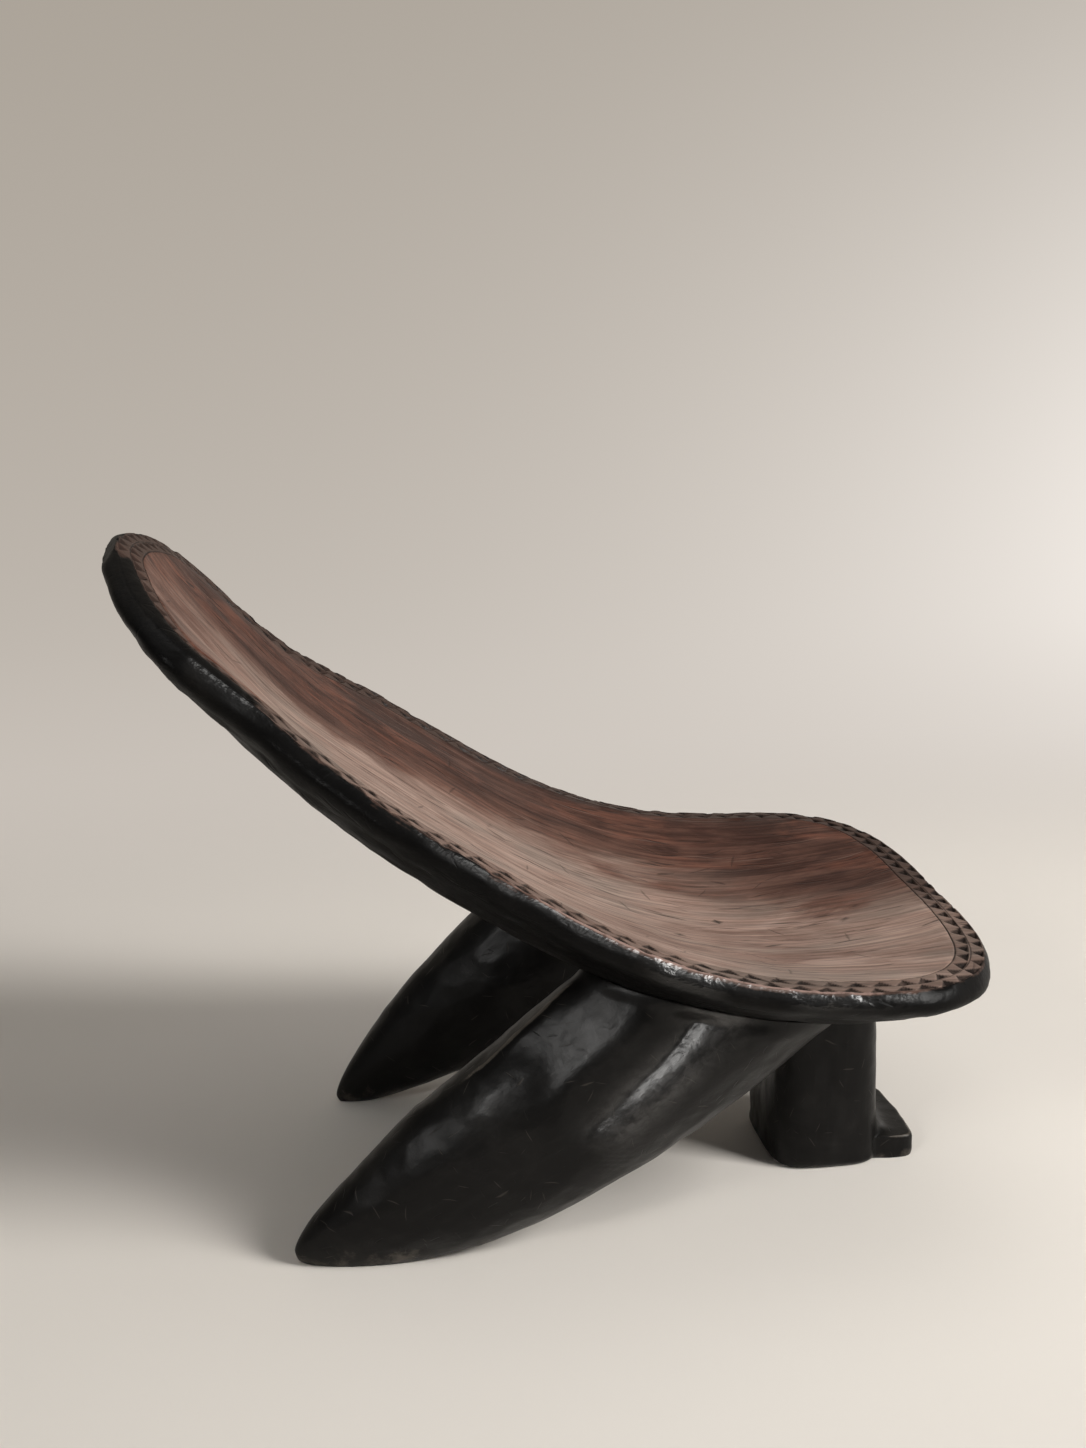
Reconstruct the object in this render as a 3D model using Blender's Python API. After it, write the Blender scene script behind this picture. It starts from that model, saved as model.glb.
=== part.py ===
"""Low lounge chair carved in wood: a dished seat and back in one sweep, on three legs.

The seat runs along X with its front edge at +X, its width lies along Y, and it stands on z = 0.
The origin is under the middle of the whole chair. All sizes are metres, all angles degrees.
"""

import math

import bmesh
import bpy
import numpy as np
from mathutils import Vector
from mathutils.bvhtree import BVHTree

# Air left between pieces that seat on each other
FIT_GAP = 0.0003

# Line of the rim, measured as arc length from the front edge to the top of the back
RIM_FRONT_HEIGHT = 0.288
SWEEP_LENGTH = 0.992
SEAT_TILT = 2.0
BACK_RAKE = 33.0
HEAD_RAKE = 43.5
BACK_BEND_START = 0.11
BACK_BEND_END = 0.54
HEAD_BEND_START = 0.67
HEAD_BEND_END = 0.815

# Outline of the rim: half widths, where they change, and how round the two ends are
SEAT_HALF_WIDTH = 0.288
SHOULDER_HALF_WIDTH = 0.276
HEAD_HALF_WIDTH = 0.207
SHOULDER_AT = 0.617
NECK_AT = 0.833
FRONT_ROUND_LENGTH = 0.20
FRONT_SQUARENESS = 3.2
HEAD_ROUND_LENGTH = 0.10
HEAD_SQUARENESS = 1.6

# Section of the seat: flat lip, hollow inside it, wood under the hollow, rounded outer edge
LIP_WIDTH = 0.031
LIP_FALL = 0.002
SEAT_HOLLOW = 0.036
HEAD_HOLLOW = 0.024
HOLLOW_FRONT_RUN = 0.26
HOLLOW_HEAD_RUN = 0.24
HOLLOW_SOFTNESS = 1.25
FRONT_FLOOR = 0.036
SEAT_FLOOR = 0.044
HEAD_FLOOR = 0.031
EDGE_BULGE = 0.010
EDGE_BULGE_DEPTH = 0.034
BELLY_SQUARENESS = 2.4
SPINE_FRONT_INSET = 0.20
SPINE_HEAD_INSET = 0.18

# Rear legs: tusks pointing backwards, set in from the seat's half width, each with its own carved line
TIP_INSET = 0.104
TOP_INSET = 0.116
TOP_BELOW_RIM = 0.012
TIP_RADIUS = 0.005
LEG_HALF_DEPTH = 0.107
LEG_HALF_THICKNESS = 0.074
LEG_SWELL = 2.8
LEG_FULLNESS = 0.75
RIGHT_TIP_SETBACK = 0.720
RIGHT_TIP_HEIGHT = 0.008
RIGHT_BOW_SETBACK = 0.474
RIGHT_BOW_HEIGHT = 0.106
RIGHT_TOP_SETBACK = 0.253
LEFT_TIP_SETBACK = 0.653
LEFT_TIP_HEIGHT = 0.001
LEFT_BOW_SETBACK = 0.370
LEFT_BOW_HEIGHT = 0.214
LEFT_TOP_SETBACK = 0.216

# Front leg: a squared column with a rounded heel, standing on a foot with a flat toe
COLUMN_SETBACK = 0.134
COLUMN_HALF_DEPTH = 0.062
COLUMN_HALF_WIDTH = 0.080
COLUMN_WAIST = 0.008
COLUMN_WAIST_HEIGHT = 0.22
COLUMN_SQUARENESS = 4.0
FOOT_ROUND = 0.008
TOE_REACH = 0.039
TOE_HALF_WIDTH = 0.067
TOE_HEIGHT = 0.026
TOE_ROUND = 0.006

# Loose round tenons, two for each leg, all upright so that the seat drops on from above
TENON_DIAMETER = 0.024
TENON_IN_SEAT = 0.022
TENON_IN_LEG = 0.036
TENON_CHAMFER = 0.002
REAR_TENON_SPACING = 0.070
REAR_TENON_SETBACK = 0.012
FRONT_TENON_SPACING = 0.070

# Fineness of the faceted surfaces
OUTLINE_POINTS = 112
PROFILE_STEPS = 800
HOLLOW_RINGS = 8
EDGE_RINGS = 10
LEG_RINGS = 26
LEG_SIDES = 28
COLUMN_SIDES = 36
COLUMN_RINGS = 10
TOE_SIDES = 28
TENON_SIDES = 24
ROUND_STEPS = 4

# Ring points closer than this are one point
MERGE_DISTANCE = 0.00005

# Helper solids reach this far past what they cut
CUT_MARGIN = 0.25

# Colour, roughness and metallic value of each finish
WORN_BROWN = ((0.165, 0.105, 0.075, 1.0), 0.55, 0.0)
BLACKENED = ((0.013, 0.012, 0.011, 1.0), 0.38, 0.0)
PALE_WOOD = ((0.42, 0.29, 0.17, 1.0), 0.60, 0.0)


def clear_scene():
    for found in list(bpy.data.objects):
        bpy.data.objects.remove(found, do_unlink=True)


def make_finish(name, finish):
    colour, roughness, metallic = finish
    material = bpy.data.materials.new(name)
    material.use_nodes = True
    shader = material.node_tree.nodes["Principled BSDF"]
    shader.inputs["Base Color"].default_value = colour
    shader.inputs["Roughness"].default_value = roughness
    shader.inputs["Metallic"].default_value = metallic
    material.diffuse_color = colour
    return material


def smooth_step(value, start, end):
    share = np.clip((value - start) / (end - start), 0.0, 1.0)
    return share * share * (3.0 - 2.0 * share)


def signed_power(value, power):
    return np.sign(value) * np.abs(value) ** power


def rim_line():
    """Arc length, x, z and slope along the rim line, with the front edge at x = 0."""
    along = np.linspace(0.0, SWEEP_LENGTH, PROFILE_STEPS)
    slope = np.radians(
        SEAT_TILT
        + (BACK_RAKE - SEAT_TILT) * smooth_step(along, BACK_BEND_START, BACK_BEND_END)
        + (HEAD_RAKE - BACK_RAKE) * smooth_step(along, HEAD_BEND_START, HEAD_BEND_END)
    )
    step = along[1] - along[0]
    run = np.concatenate([[0.0], np.cumsum((np.cos(slope[1:]) + np.cos(slope[:-1])) / 2 * step)])
    rise = np.concatenate([[0.0], np.cumsum((np.sin(slope[1:]) + np.sin(slope[:-1])) / 2 * step)])
    return along, -run, RIM_FRONT_HEIGHT + rise, slope


def rim_half_width(along):
    """Half width of the rim, closed at both ends by superellipses."""
    width = (
        SEAT_HALF_WIDTH
        + (SHOULDER_HALF_WIDTH - SEAT_HALF_WIDTH) * smooth_step(along, FRONT_ROUND_LENGTH, SHOULDER_AT)
        + (HEAD_HALF_WIDTH - SHOULDER_HALF_WIDTH) * smooth_step(along, SHOULDER_AT, NECK_AT)
    )
    front = np.clip(1.0 - along / FRONT_ROUND_LENGTH, 0.0, 1.0)
    head = np.clip(1.0 - (SWEEP_LENGTH - along) / HEAD_ROUND_LENGTH, 0.0, 1.0)
    front_close = (1.0 - front**FRONT_SQUARENESS) ** (1.0 / FRONT_SQUARENESS)
    head_close = (1.0 - head**HEAD_SQUARENESS) ** (1.0 / HEAD_SQUARENESS)
    return width * front_close * head_close


def rim_outline():
    """Evenly spaced (along, y) points round the rim, and the inward direction at each."""
    turn = np.linspace(0.0, math.pi, 4 * PROFILE_STEPS)
    along = SWEEP_LENGTH * (1.0 - np.cos(turn)) / 2
    half = rim_half_width(along)
    right = np.stack([along, -half], axis=1)
    left = np.stack([along, half], axis=1)[::-1]
    loop = np.concatenate([right, left[1:]])
    travelled = np.concatenate([[0.0], np.cumsum(np.linalg.norm(np.diff(loop, axis=0), axis=1))])
    stations = np.linspace(0.0, travelled[-1], OUTLINE_POINTS, endpoint=False)
    points = np.stack([np.interp(stations, travelled, loop[:, i]) for i in (0, 1)], axis=1)
    heading = np.roll(points, -1, axis=0) - np.roll(points, 1, axis=0)
    heading /= np.linalg.norm(heading, axis=1)[:, None]
    inward = np.stack([-heading[:, 1], heading[:, 0]], axis=1)
    middle = np.array([SWEEP_LENGTH / 2, 0.0])
    facing = np.sign(np.sum((middle - points) * inward))
    return points, inward * facing


class SeatShape:
    """The seat's surfaces as rings of points, from the middle of the hollow to the middle of the belly."""

    def __init__(self):
        self.line = rim_line()
        self.outline, self.inward = rim_outline()
        self.lip = self.outline + self.inward * LIP_WIDTH
        self.spine = np.stack(
            [
                np.clip(self.outline[:, 0], SPINE_FRONT_INSET, SWEEP_LENGTH - SPINE_HEAD_INSET),
                np.zeros(OUTLINE_POINTS),
            ],
            axis=1,
        )
        self.front_x = 0.0
        surface = np.concatenate(self.hollow_rings() + self.belly_rings(0.0))
        self.front_x = -(surface[:, 0].min() + surface[:, 0].max()) / 2

    def place(self, plan, depth):
        """World points of (along, y) plan points sunk by depth at right angles to the rim line."""
        along, x, z, slope = self.line
        here = np.interp(plan[:, 0], along, slope)
        return np.stack(
            [
                self.front_x + np.interp(plan[:, 0], along, x) - depth * np.sin(here),
                plan[:, 1],
                np.interp(plan[:, 0], along, z) - depth * np.cos(here),
            ],
            axis=1,
        )

    def rim_height(self, setback):
        """Height of the rim line at a level distance behind the front edge."""
        return float(np.interp(setback, -self.line[1], self.line[2]))

    def hollow_depth(self, along):
        """Depth of the hollow along its middle, before it runs out towards the two ends."""
        return SEAT_HOLLOW + (HEAD_HOLLOW - SEAT_HOLLOW) * smooth_step(along, BACK_BEND_END, NECK_AT)

    def hollow_at(self, plan):
        """Depth of the hollow at plan points: round across, and running out to nothing at both ends."""
        right_side = self.lip[: OUTLINE_POINTS // 2 + 1]
        along, y = plan.T
        half = np.interp(along, right_side[:, 0], -right_side[:, 1])
        across = np.clip(1.0 - (y / np.maximum(half, MERGE_DISTANCE)) ** 2, 0.0, 1.0)
        from_front = np.clip((along - LIP_WIDTH) / HOLLOW_FRONT_RUN, 0.0, 1.0)
        from_head = np.clip((SWEEP_LENGTH - LIP_WIDTH - along) / HOLLOW_HEAD_RUN, 0.0, 1.0)
        ends = (1.0 - (1.0 - from_front) ** 2) * (1.0 - (1.0 - from_head) ** 2)
        return self.hollow_depth(along) * across**HOLLOW_SOFTNESS * ends

    def belly_depth(self, along):
        floor = (
            FRONT_FLOOR
            + (SEAT_FLOOR - FRONT_FLOOR) * smooth_step(along, 0.0, FRONT_ROUND_LENGTH)
            + (HEAD_FLOOR - SEAT_FLOOR) * smooth_step(along, BACK_BEND_END, SWEEP_LENGTH)
        )
        return self.hollow_depth(along) + floor

    def hollow_rings(self):
        """From the spine outwards to the lip's inner edge, then the rim itself."""
        rings = []
        for share in np.linspace(1.0, 0.0, HOLLOW_RINGS):
            plan = self.lip + (self.spine - self.lip) * share
            rings.append(self.place(plan, self.hollow_at(plan)))
        rings.append(self.place(self.outline, np.full(OUTLINE_POINTS, LIP_FALL)))
        return rings

    def belly_rings(self, clearance):
        """From just under the rim, out over the rounded edge, and in below to the spine."""
        rings = []
        for turn in np.linspace(0.0, math.pi / 2, EDGE_RINGS)[1:]:
            share = 1.0 - math.cos(turn) ** (2.0 / BELLY_SQUARENESS)
            plan = self.outline + (self.spine - self.outline) * share
            full = self.belly_depth(plan[:, 0])
            depth = LIP_FALL + (full - LIP_FALL) * math.sin(turn) ** (2.0 / BELLY_SQUARENESS)
            swell = np.sin(math.pi * np.clip((depth - LIP_FALL) / EDGE_BULGE_DEPTH, 0.0, 1.0))
            plan = plan - self.inward * (EDGE_BULGE * swell)[:, None]
            rings.append(self.place(plan, depth + clearance))
        return rings


def close_rings(name, rings):
    """A closed mesh of triangles from rings of equal count, whose first and last ring close up.

    Each four-sided patch is split along the same diagonal, so that a seat and a cutter made from
    the same rings keep an even gap.
    """
    mesh = bpy.data.meshes.new(name)
    count = len(rings[0])
    points = np.concatenate(rings)
    faces = []
    for ring in range(len(rings) - 1):
        for here in range(count):
            after = (here + 1) % count
            low = ring * count
            high = low + count
            faces.append((low + here, low + after, high + after))
            faces.append((low + here, high + after, high + here))
    mesh.from_pydata(points.tolist(), [], faces)
    tidy = bmesh.new()
    tidy.from_mesh(mesh)
    bmesh.ops.remove_doubles(tidy, verts=tidy.verts, dist=MERGE_DISTANCE)
    bmesh.ops.recalc_face_normals(tidy, faces=tidy.faces)
    tidy.to_mesh(mesh)
    tidy.free()
    return mesh


def add_piece(name, mesh, finish, parent):
    piece = bpy.data.objects.new(name, mesh)
    bpy.context.scene.collection.objects.link(piece)
    mesh.materials.append(finish)
    mesh.shade_smooth()
    mesh.set_sharp_from_angle(angle=math.radians(40))
    piece.parent = parent
    return piece


def add_cutter(name, mesh, parent):
    cutter = bpy.data.objects.new(name, mesh)
    bpy.context.scene.collection.objects.link(cutter)
    cutter.hide_render = True
    cutter.display_type = "WIRE"
    cutter.parent = parent
    return cutter


def add_boolean(piece, other, operation):
    boolean = piece.modifiers.new(operation.lower() + "_" + other.name, "BOOLEAN")
    boolean.operation = operation
    boolean.solver = "EXACT"
    boolean.object = other


def seat_mesh(shape):
    return close_rings("seat_dish", shape.hollow_rings() + shape.belly_rings(0.0))


def seat_cutter_mesh(shape):
    """Everything above the seat's belly, so that what it trims ends just under the seat."""
    belly = shape.belly_rings(FIT_GAP)
    over_rim = belly[0] + np.array([0.0, 0.0, CUT_MARGIN])
    over_spine = shape.place(shape.spine, np.zeros(OUTLINE_POINTS)) + np.array([0.0, 0.0, CUT_MARGIN])
    return close_rings("cut_above_belly", [over_spine, over_rim] + belly)


def floor_cutter_mesh():
    """A block under z = 0 that flattens the legs where they stand."""
    mesh = bpy.data.meshes.new("cut_below_floor")
    block = bmesh.new()
    bmesh.ops.create_cube(block, size=1.0)
    bmesh.ops.scale(block, vec=(2 * SWEEP_LENGTH, 4 * SEAT_HALF_WIDTH, CUT_MARGIN), verts=block.verts)
    bmesh.ops.translate(block, vec=(0.0, 0.0, -CUT_MARGIN / 2), verts=block.verts)
    block.to_mesh(mesh)
    block.free()
    return mesh


def rear_leg_axis(shape, side, tip_setback, tip_height, bow_setback, bow_height, top_setback):
    """Middle points and unit tangents of one rear leg, from the tip up into the seat."""
    top_height = shape.rim_height(top_setback) - TOP_BELOW_RIM
    tip_out = SEAT_HALF_WIDTH - TIP_INSET
    top_out = SEAT_HALF_WIDTH - TOP_INSET
    tip = np.array([shape.front_x - tip_setback, side * tip_out, tip_height])
    top = np.array([shape.front_x - top_setback, side * top_out, top_height])
    bow = np.array([shape.front_x - bow_setback, side * (tip_out + top_out) / 2, bow_height])
    share = np.linspace(0.0, 1.0, LEG_RINGS)[:, None]
    middle = (1 - share) ** 2 * tip + 2 * share * (1 - share) * bow + share**2 * top
    tangent = (1 - share) * (bow - tip) + share * (top - bow)
    tangent /= np.linalg.norm(tangent, axis=1)[:, None]
    return share[:, 0], middle, tangent


def rear_leg_mesh(name, axis):
    """An elliptical tusk swept along its axis, carried on past its top into the seat."""
    share, middle, tangent = axis
    girth = (1.0 - (1.0 - share) ** LEG_SWELL) ** LEG_FULLNESS
    depth = TIP_RADIUS + (LEG_HALF_DEPTH - TIP_RADIUS) * girth
    thickness = TIP_RADIUS + (LEG_HALF_THICKNESS - TIP_RADIUS) * girth
    middle = np.concatenate([middle, [middle[-1] + tangent[-1] * LEG_HALF_DEPTH]])
    tangent = np.concatenate([tangent, tangent[-1:]])
    depth = np.concatenate([depth, depth[-1:]])
    thickness = np.concatenate([thickness, thickness[-1:]])
    across = np.cross(tangent, (0.0, 0.0, 1.0))
    across /= np.linalg.norm(across, axis=1)[:, None]
    upward = np.cross(across, tangent)
    turn = np.linspace(0.0, 2 * math.pi, LEG_SIDES, endpoint=False)
    rings = [
        middle[i]
        + thickness[i] * np.cos(turn)[:, None] * across[i]
        + depth[i] * np.sin(turn)[:, None] * upward[i]
        for i in range(len(middle))
    ]
    first = np.repeat(middle[:1], LEG_SIDES, axis=0)
    last = np.repeat(middle[-1:], LEG_SIDES, axis=0)
    return close_rings(name, [first] + rings + [last])


def column_mesh(name, middle_x, top_height):
    """A squared column, drawn in at the waist, with its foot's lower edge rounded over."""
    bend = np.linspace(0.0, math.pi / 2, ROUND_STEPS)
    rounded = [(FOOT_ROUND * (1 - math.sin(t)), FOOT_ROUND * (1 - math.cos(t))) for t in bend]
    upright = [(0.0, z) for z in np.linspace(FOOT_ROUND, top_height, COLUMN_RINGS)[1:]]
    turn = np.linspace(0.0, 2 * math.pi, COLUMN_SIDES, endpoint=False)
    power = 2.0 / COLUMN_SQUARENESS
    rings = []
    for inset, z in rounded + upright:
        waist = COLUMN_WAIST * float(smooth_step(z, 0.0, COLUMN_WAIST_HEIGHT))
        x = middle_x + (COLUMN_HALF_DEPTH - inset - waist) * signed_power(np.cos(turn), power)
        y = (COLUMN_HALF_WIDTH - inset - waist) * signed_power(np.sin(turn), power)
        rings.append(np.stack([x, y, np.full(COLUMN_SIDES, z)], axis=1))
    first = np.repeat([[middle_x, 0.0, 0.0]], COLUMN_SIDES, axis=0)
    last = np.repeat([[middle_x, 0.0, top_height]], COLUMN_SIDES, axis=0)
    return close_rings(name, [first] + rings + [last])


def toe_mesh(name, middle_x):
    """The flat toe: a low slab with a rounded top edge, running back inside the column."""
    front = middle_x + COLUMN_HALF_DEPTH + TOE_REACH
    half_depth = (front - middle_x) / 2
    turn = np.linspace(0.0, 2 * math.pi, TOE_SIDES, endpoint=False)
    power = 1.0 / COLUMN_SQUARENESS
    rings = []
    bend = np.linspace(0.0, math.pi / 2, ROUND_STEPS)
    rounded = [(TOE_ROUND * (1 - math.cos(t)), TOE_HEIGHT - TOE_ROUND * (1 - math.sin(t))) for t in bend]
    for inset, z in [(0.0, 0.0)] + rounded:
        x = middle_x + half_depth + (half_depth - inset) * signed_power(np.cos(turn), power)
        y = (TOE_HALF_WIDTH - inset) * signed_power(np.sin(turn), power)
        rings.append(np.stack([x, y, np.full(TOE_SIDES, z)], axis=1))
    first = np.repeat([[middle_x + half_depth, 0.0, 0.0]], TOE_SIDES, axis=0)
    last = np.repeat([[middle_x + half_depth, 0.0, TOE_HEIGHT]], TOE_SIDES, axis=0)
    return close_rings(name, [first] + rings + [last])


def round_bar_mesh(name, radius, length, chamfer):
    """An upright round bar centred on its own origin, with chamfered ends."""
    mesh = bpy.data.meshes.new(name)
    bar = bmesh.new()
    bmesh.ops.create_cone(
        bar, cap_ends=True, segments=TENON_SIDES, radius1=radius, radius2=radius, depth=length
    )
    if chamfer:
        caps = [edge for edge in bar.edges if abs(edge.verts[0].co.z - edge.verts[1].co.z) < length / 2]
        bmesh.ops.bevel(bar, geom=caps, offset=chamfer, segments=1, affect="EDGES")
    bar.to_mesh(mesh)
    bar.free()
    return mesh


def belly_height(tree, x, y):
    """Height of the seat's underside straight above a point of the floor."""
    hit = tree.ray_cast(Vector((x, y, 0.0)), Vector((0.0, 0.0, 1.0)))[0]
    return hit.z


def axis_meets_belly(tree, axis):
    """The place, seen from above, where a leg's axis passes into the seat."""
    middle = axis[1]
    over = np.array([z - belly_height(tree, x, y) for x, y, z in middle])
    return middle[int(np.argmax(over >= 0.0))][:2]


def add_tenon_pair(seat, leg, spots, tree, finish, parent):
    """Two loose tenons between the seat and one leg, with their bores in both."""
    length = TENON_IN_SEAT + TENON_IN_LEG
    for place, (x, y) in spots.items():
        middle_z = belly_height(tree, x, y) + (TENON_IN_SEAT - TENON_IN_LEG) / 2
        name = leg.name + "_tenon_" + place
        bar = round_bar_mesh(name, TENON_DIAMETER / 2, length, TENON_CHAMFER)
        tenon = add_piece(name, bar, finish, parent)
        tenon.location = (x, y, middle_z)
        bore = round_bar_mesh("bore_" + name, TENON_DIAMETER / 2 + FIT_GAP, length + 2 * FIT_GAP, 0.0)
        cutter = add_cutter("bore_" + name, bore, parent)
        cutter.location = (x, y, middle_z)
        add_boolean(seat, cutter, "DIFFERENCE")
        add_boolean(leg, cutter, "DIFFERENCE")


def main():
    clear_scene()
    chair = bpy.data.objects.new("chair", None)
    bpy.context.scene.collection.objects.link(chair)
    brown = make_finish("worn_brown", WORN_BROWN)
    black = make_finish("blackened", BLACKENED)
    pale = make_finish("pale_wood", PALE_WOOD)

    shape = SeatShape()
    seat = add_piece("seat_dish", seat_mesh(shape), brown, chair)
    solid = bmesh.new()
    solid.from_mesh(seat.data)
    tree = BVHTree.FromBMesh(solid)
    solid.free()
    above_belly = add_cutter("cut_above_belly", seat_cutter_mesh(shape), chair)
    below_floor = add_cutter("cut_below_floor", floor_cutter_mesh(), chair)

    right = (RIGHT_TIP_SETBACK, RIGHT_TIP_HEIGHT, RIGHT_BOW_SETBACK, RIGHT_BOW_HEIGHT, RIGHT_TOP_SETBACK)
    left = (LEFT_TIP_SETBACK, LEFT_TIP_HEIGHT, LEFT_BOW_SETBACK, LEFT_BOW_HEIGHT, LEFT_TOP_SETBACK)
    for name, side, sizes in (("rear_leg_right", -1, right), ("rear_leg_left", 1, left)):
        axis = rear_leg_axis(shape, side, *sizes)
        leg = add_piece(name, rear_leg_mesh(name, axis), black, chair)
        add_boolean(leg, above_belly, "DIFFERENCE")
        add_boolean(leg, below_floor, "DIFFERENCE")
        x, y = axis_meets_belly(tree, axis)
        x -= REAR_TENON_SETBACK
        spots = {"rear": (x - REAR_TENON_SPACING / 2, y), "front": (x + REAR_TENON_SPACING / 2, y)}
        add_tenon_pair(seat, leg, spots, tree, pale, chair)

    column_x = shape.front_x - COLUMN_SETBACK
    column = column_mesh("front_leg", column_x, shape.rim_height(COLUMN_SETBACK))
    front_leg = add_piece("front_leg", column, black, chair)
    toe = add_cutter("front_leg_toe", toe_mesh("front_leg_toe", column_x), chair)
    add_boolean(front_leg, toe, "UNION")
    add_boolean(front_leg, above_belly, "DIFFERENCE")
    half = FRONT_TENON_SPACING / 2
    spots = {"right": (column_x, -half), "left": (column_x, half)}
    add_tenon_pair(seat, front_leg, spots, tree, pale, chair)


main()
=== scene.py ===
import math
from functools import partial
import bmesh
import bpy
import numpy as np
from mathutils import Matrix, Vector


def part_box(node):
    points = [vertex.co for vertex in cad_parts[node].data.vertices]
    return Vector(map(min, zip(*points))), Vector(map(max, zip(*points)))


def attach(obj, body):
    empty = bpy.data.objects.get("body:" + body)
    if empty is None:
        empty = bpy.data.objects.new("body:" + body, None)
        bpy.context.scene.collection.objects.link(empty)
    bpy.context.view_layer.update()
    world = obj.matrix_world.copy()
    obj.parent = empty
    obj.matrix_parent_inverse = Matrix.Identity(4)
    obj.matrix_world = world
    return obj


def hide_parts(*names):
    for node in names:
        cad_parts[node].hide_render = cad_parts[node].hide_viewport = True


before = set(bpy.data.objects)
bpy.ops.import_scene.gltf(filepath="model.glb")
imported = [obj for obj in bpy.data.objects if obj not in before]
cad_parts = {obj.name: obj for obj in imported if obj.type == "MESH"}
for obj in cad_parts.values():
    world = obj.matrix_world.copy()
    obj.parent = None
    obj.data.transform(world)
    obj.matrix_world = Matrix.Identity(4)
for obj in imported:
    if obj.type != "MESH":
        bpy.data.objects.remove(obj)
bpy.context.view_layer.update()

scene = bpy.context.scene
scene.view_settings.view_transform = "Standard"
print("frame loaded:", len(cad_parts), "nodes")


# A piece's values: a dictionary whose entries can also be read by name.
class Values(dict):
    __getattr__ = dict.__getitem__


photoView = Values(
    place=(-0.3337, -1.9911, 1.0238), turn=-9.5, lookDown=14.68,
    lens=49.72, filmHeight=36.0, sight=60.0,
)


# Puts a mesh, lamp or camera into the scene.
def addObject(name, data):
    made = bpy.data.objects.new(name, data)
    scene.collection.objects.link(made)
    return made


# Camera: an eye point, turned about the upright, then tipped down.
def makeCamera(view):
    lens = bpy.data.cameras.new("photoCamera")
    lens.sensor_fit = "VERTICAL"  # the picture is taller than it is wide
    lens.sensor_height, lens.lens, lens.clip_end = view.filmHeight, view.lens, view.sight
    eye = addObject("photoCamera", lens)
    eye.location = view.place
    eye.rotation_euler = (math.radians(90.0 - view.lookDown), 0.0, math.radians(view.turn))
    scene.camera = eye


makeCamera(photoView)
print("camera placed")

cellHash = Values(
    axes=(374761393, 668265263, 2246822519), seed=40503, start=977,
    mix=((15, 2246822519), (13, 3266489917)), last=16,
)
leastLength = 1e-9  # keeps a division from meeting zero
joinWithin = 0.00002  # points this close become one


# Eased ramp: three times the share squared less twice its cube, from 0 at start to 1 at end.
def easeStep(value, start, end):
    share = np.clip((value - start) / (end - start), 0.0, 1.0)
    return share * share * (3.0 - 2.0 * share)


# The rest of an eased ramp: from 1 at start to 0 at end.
def easeDown(value, start, end):
    return 1.0 - easeStep(value, start, end)


# Value that eases from each level to the next over a stretch of its own.
def easedLevels(value, levels, stretches):
    total = levels[0]
    for before, after, stretch in zip(levels, levels[1:], stretches):
        total = total + (after - before) * easeStep(value, *stretch)
    return total


# Superellipse: one less a share to a power, rooted by the same power.
def superClose(share, square):
    return (1.0 - np.clip(share, 0.0, 1.0) ** square) ** (1.0 / square)


# Parts of a point or vector side by side, as its last axis.
def beside(*parts):
    return np.stack(parts, axis=-1)


# Vectors divided by their lengths.
def unit(vectors):
    return vectors / np.maximum(np.linalg.norm(vectors, axis=-1, keepdims=True), leastLength)


# Bell: e to the minus square of a gap over its spread.
def bell(gap, spread):
    return np.exp(-(gap / spread) ** 2)


# A fixed number from 0 to 1 for each cell: its own numbers and the seed, multiplied and mixed.
def cellNumber(cell, seed):
    h = cellHash
    axes = np.moveaxis((cell.astype(np.int64) & 0xFFFFFFFF).astype(np.uint32), -1, 0)
    mixed = np.uint32(seed * h.seed + h.start)
    for numbers, factor in zip(axes, h.axes):
        mixed = mixed + numbers * np.uint32(factor)
    for shift, factor in h.mix:
        mixed = (mixed ^ (mixed >> np.uint32(shift))) * np.uint32(factor)
    return (mixed ^ (mixed >> np.uint32(h.last))) / 2.0 ** 32


# Soft waves from -1 to 1: the numbers of the eight cells round a point, blended by its place among them.
def softWaves(points, size, seed):
    spot = points / np.asarray(size)
    cell = np.floor(spot)
    part = spot - cell
    part = part * part * part * (part * (part * 6.0 - 15.0) + 10.0)
    total = 0.0
    for corner in np.ndindex(2, 2, 2):
        weight = np.prod(np.where(np.array(corner) == 1, part, 1.0 - part), axis=-1)
        total = total + weight * cellNumber(cell + np.array(corner), seed)
    return total * 2.0 - 1.0


# Blade scallops from 0 to 1.2: squared distance to the nearest of scattered centres, one in each cell.
def bladeScallops(points, size, seed):
    spot = points / np.asarray(size)
    cell = np.floor(spot)
    nearest = np.full(spot.shape[:-1], 1.2)
    for offset in np.ndindex(3, 3, 3):
        there = cell + np.array(offset) - 1.0
        centre = there + beside(*(cellNumber(there, seed + i) for i in range(3)))
        nearest = np.minimum(nearest, np.sum((spot - centre) ** 2, axis=-1))
    return nearest


# Tool marks: the sum of layers, each a depth times soft waves, or times blade scallops less their middle level.
def toolMarks(points, layers, seed=0):
    total = 0.0
    for depth, size, ownSeed, *level in layers:
        if level:
            total = total + depth * (bladeScallops(points, size, seed + ownSeed) - level[0])
        else:
            total = total + depth * softWaves(points, size, seed + ownSeed)
    return total


# Four-sided faces between neighbouring rings of one closed count.
def ringQuads(first, count, rings):
    here = np.arange(count)
    after = (here + 1) % count
    low = first + np.arange(rings - 1)[:, None] * count
    return beside(low + here, low + after, low + count + after, low + count + here).reshape(-1, 4)


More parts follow.
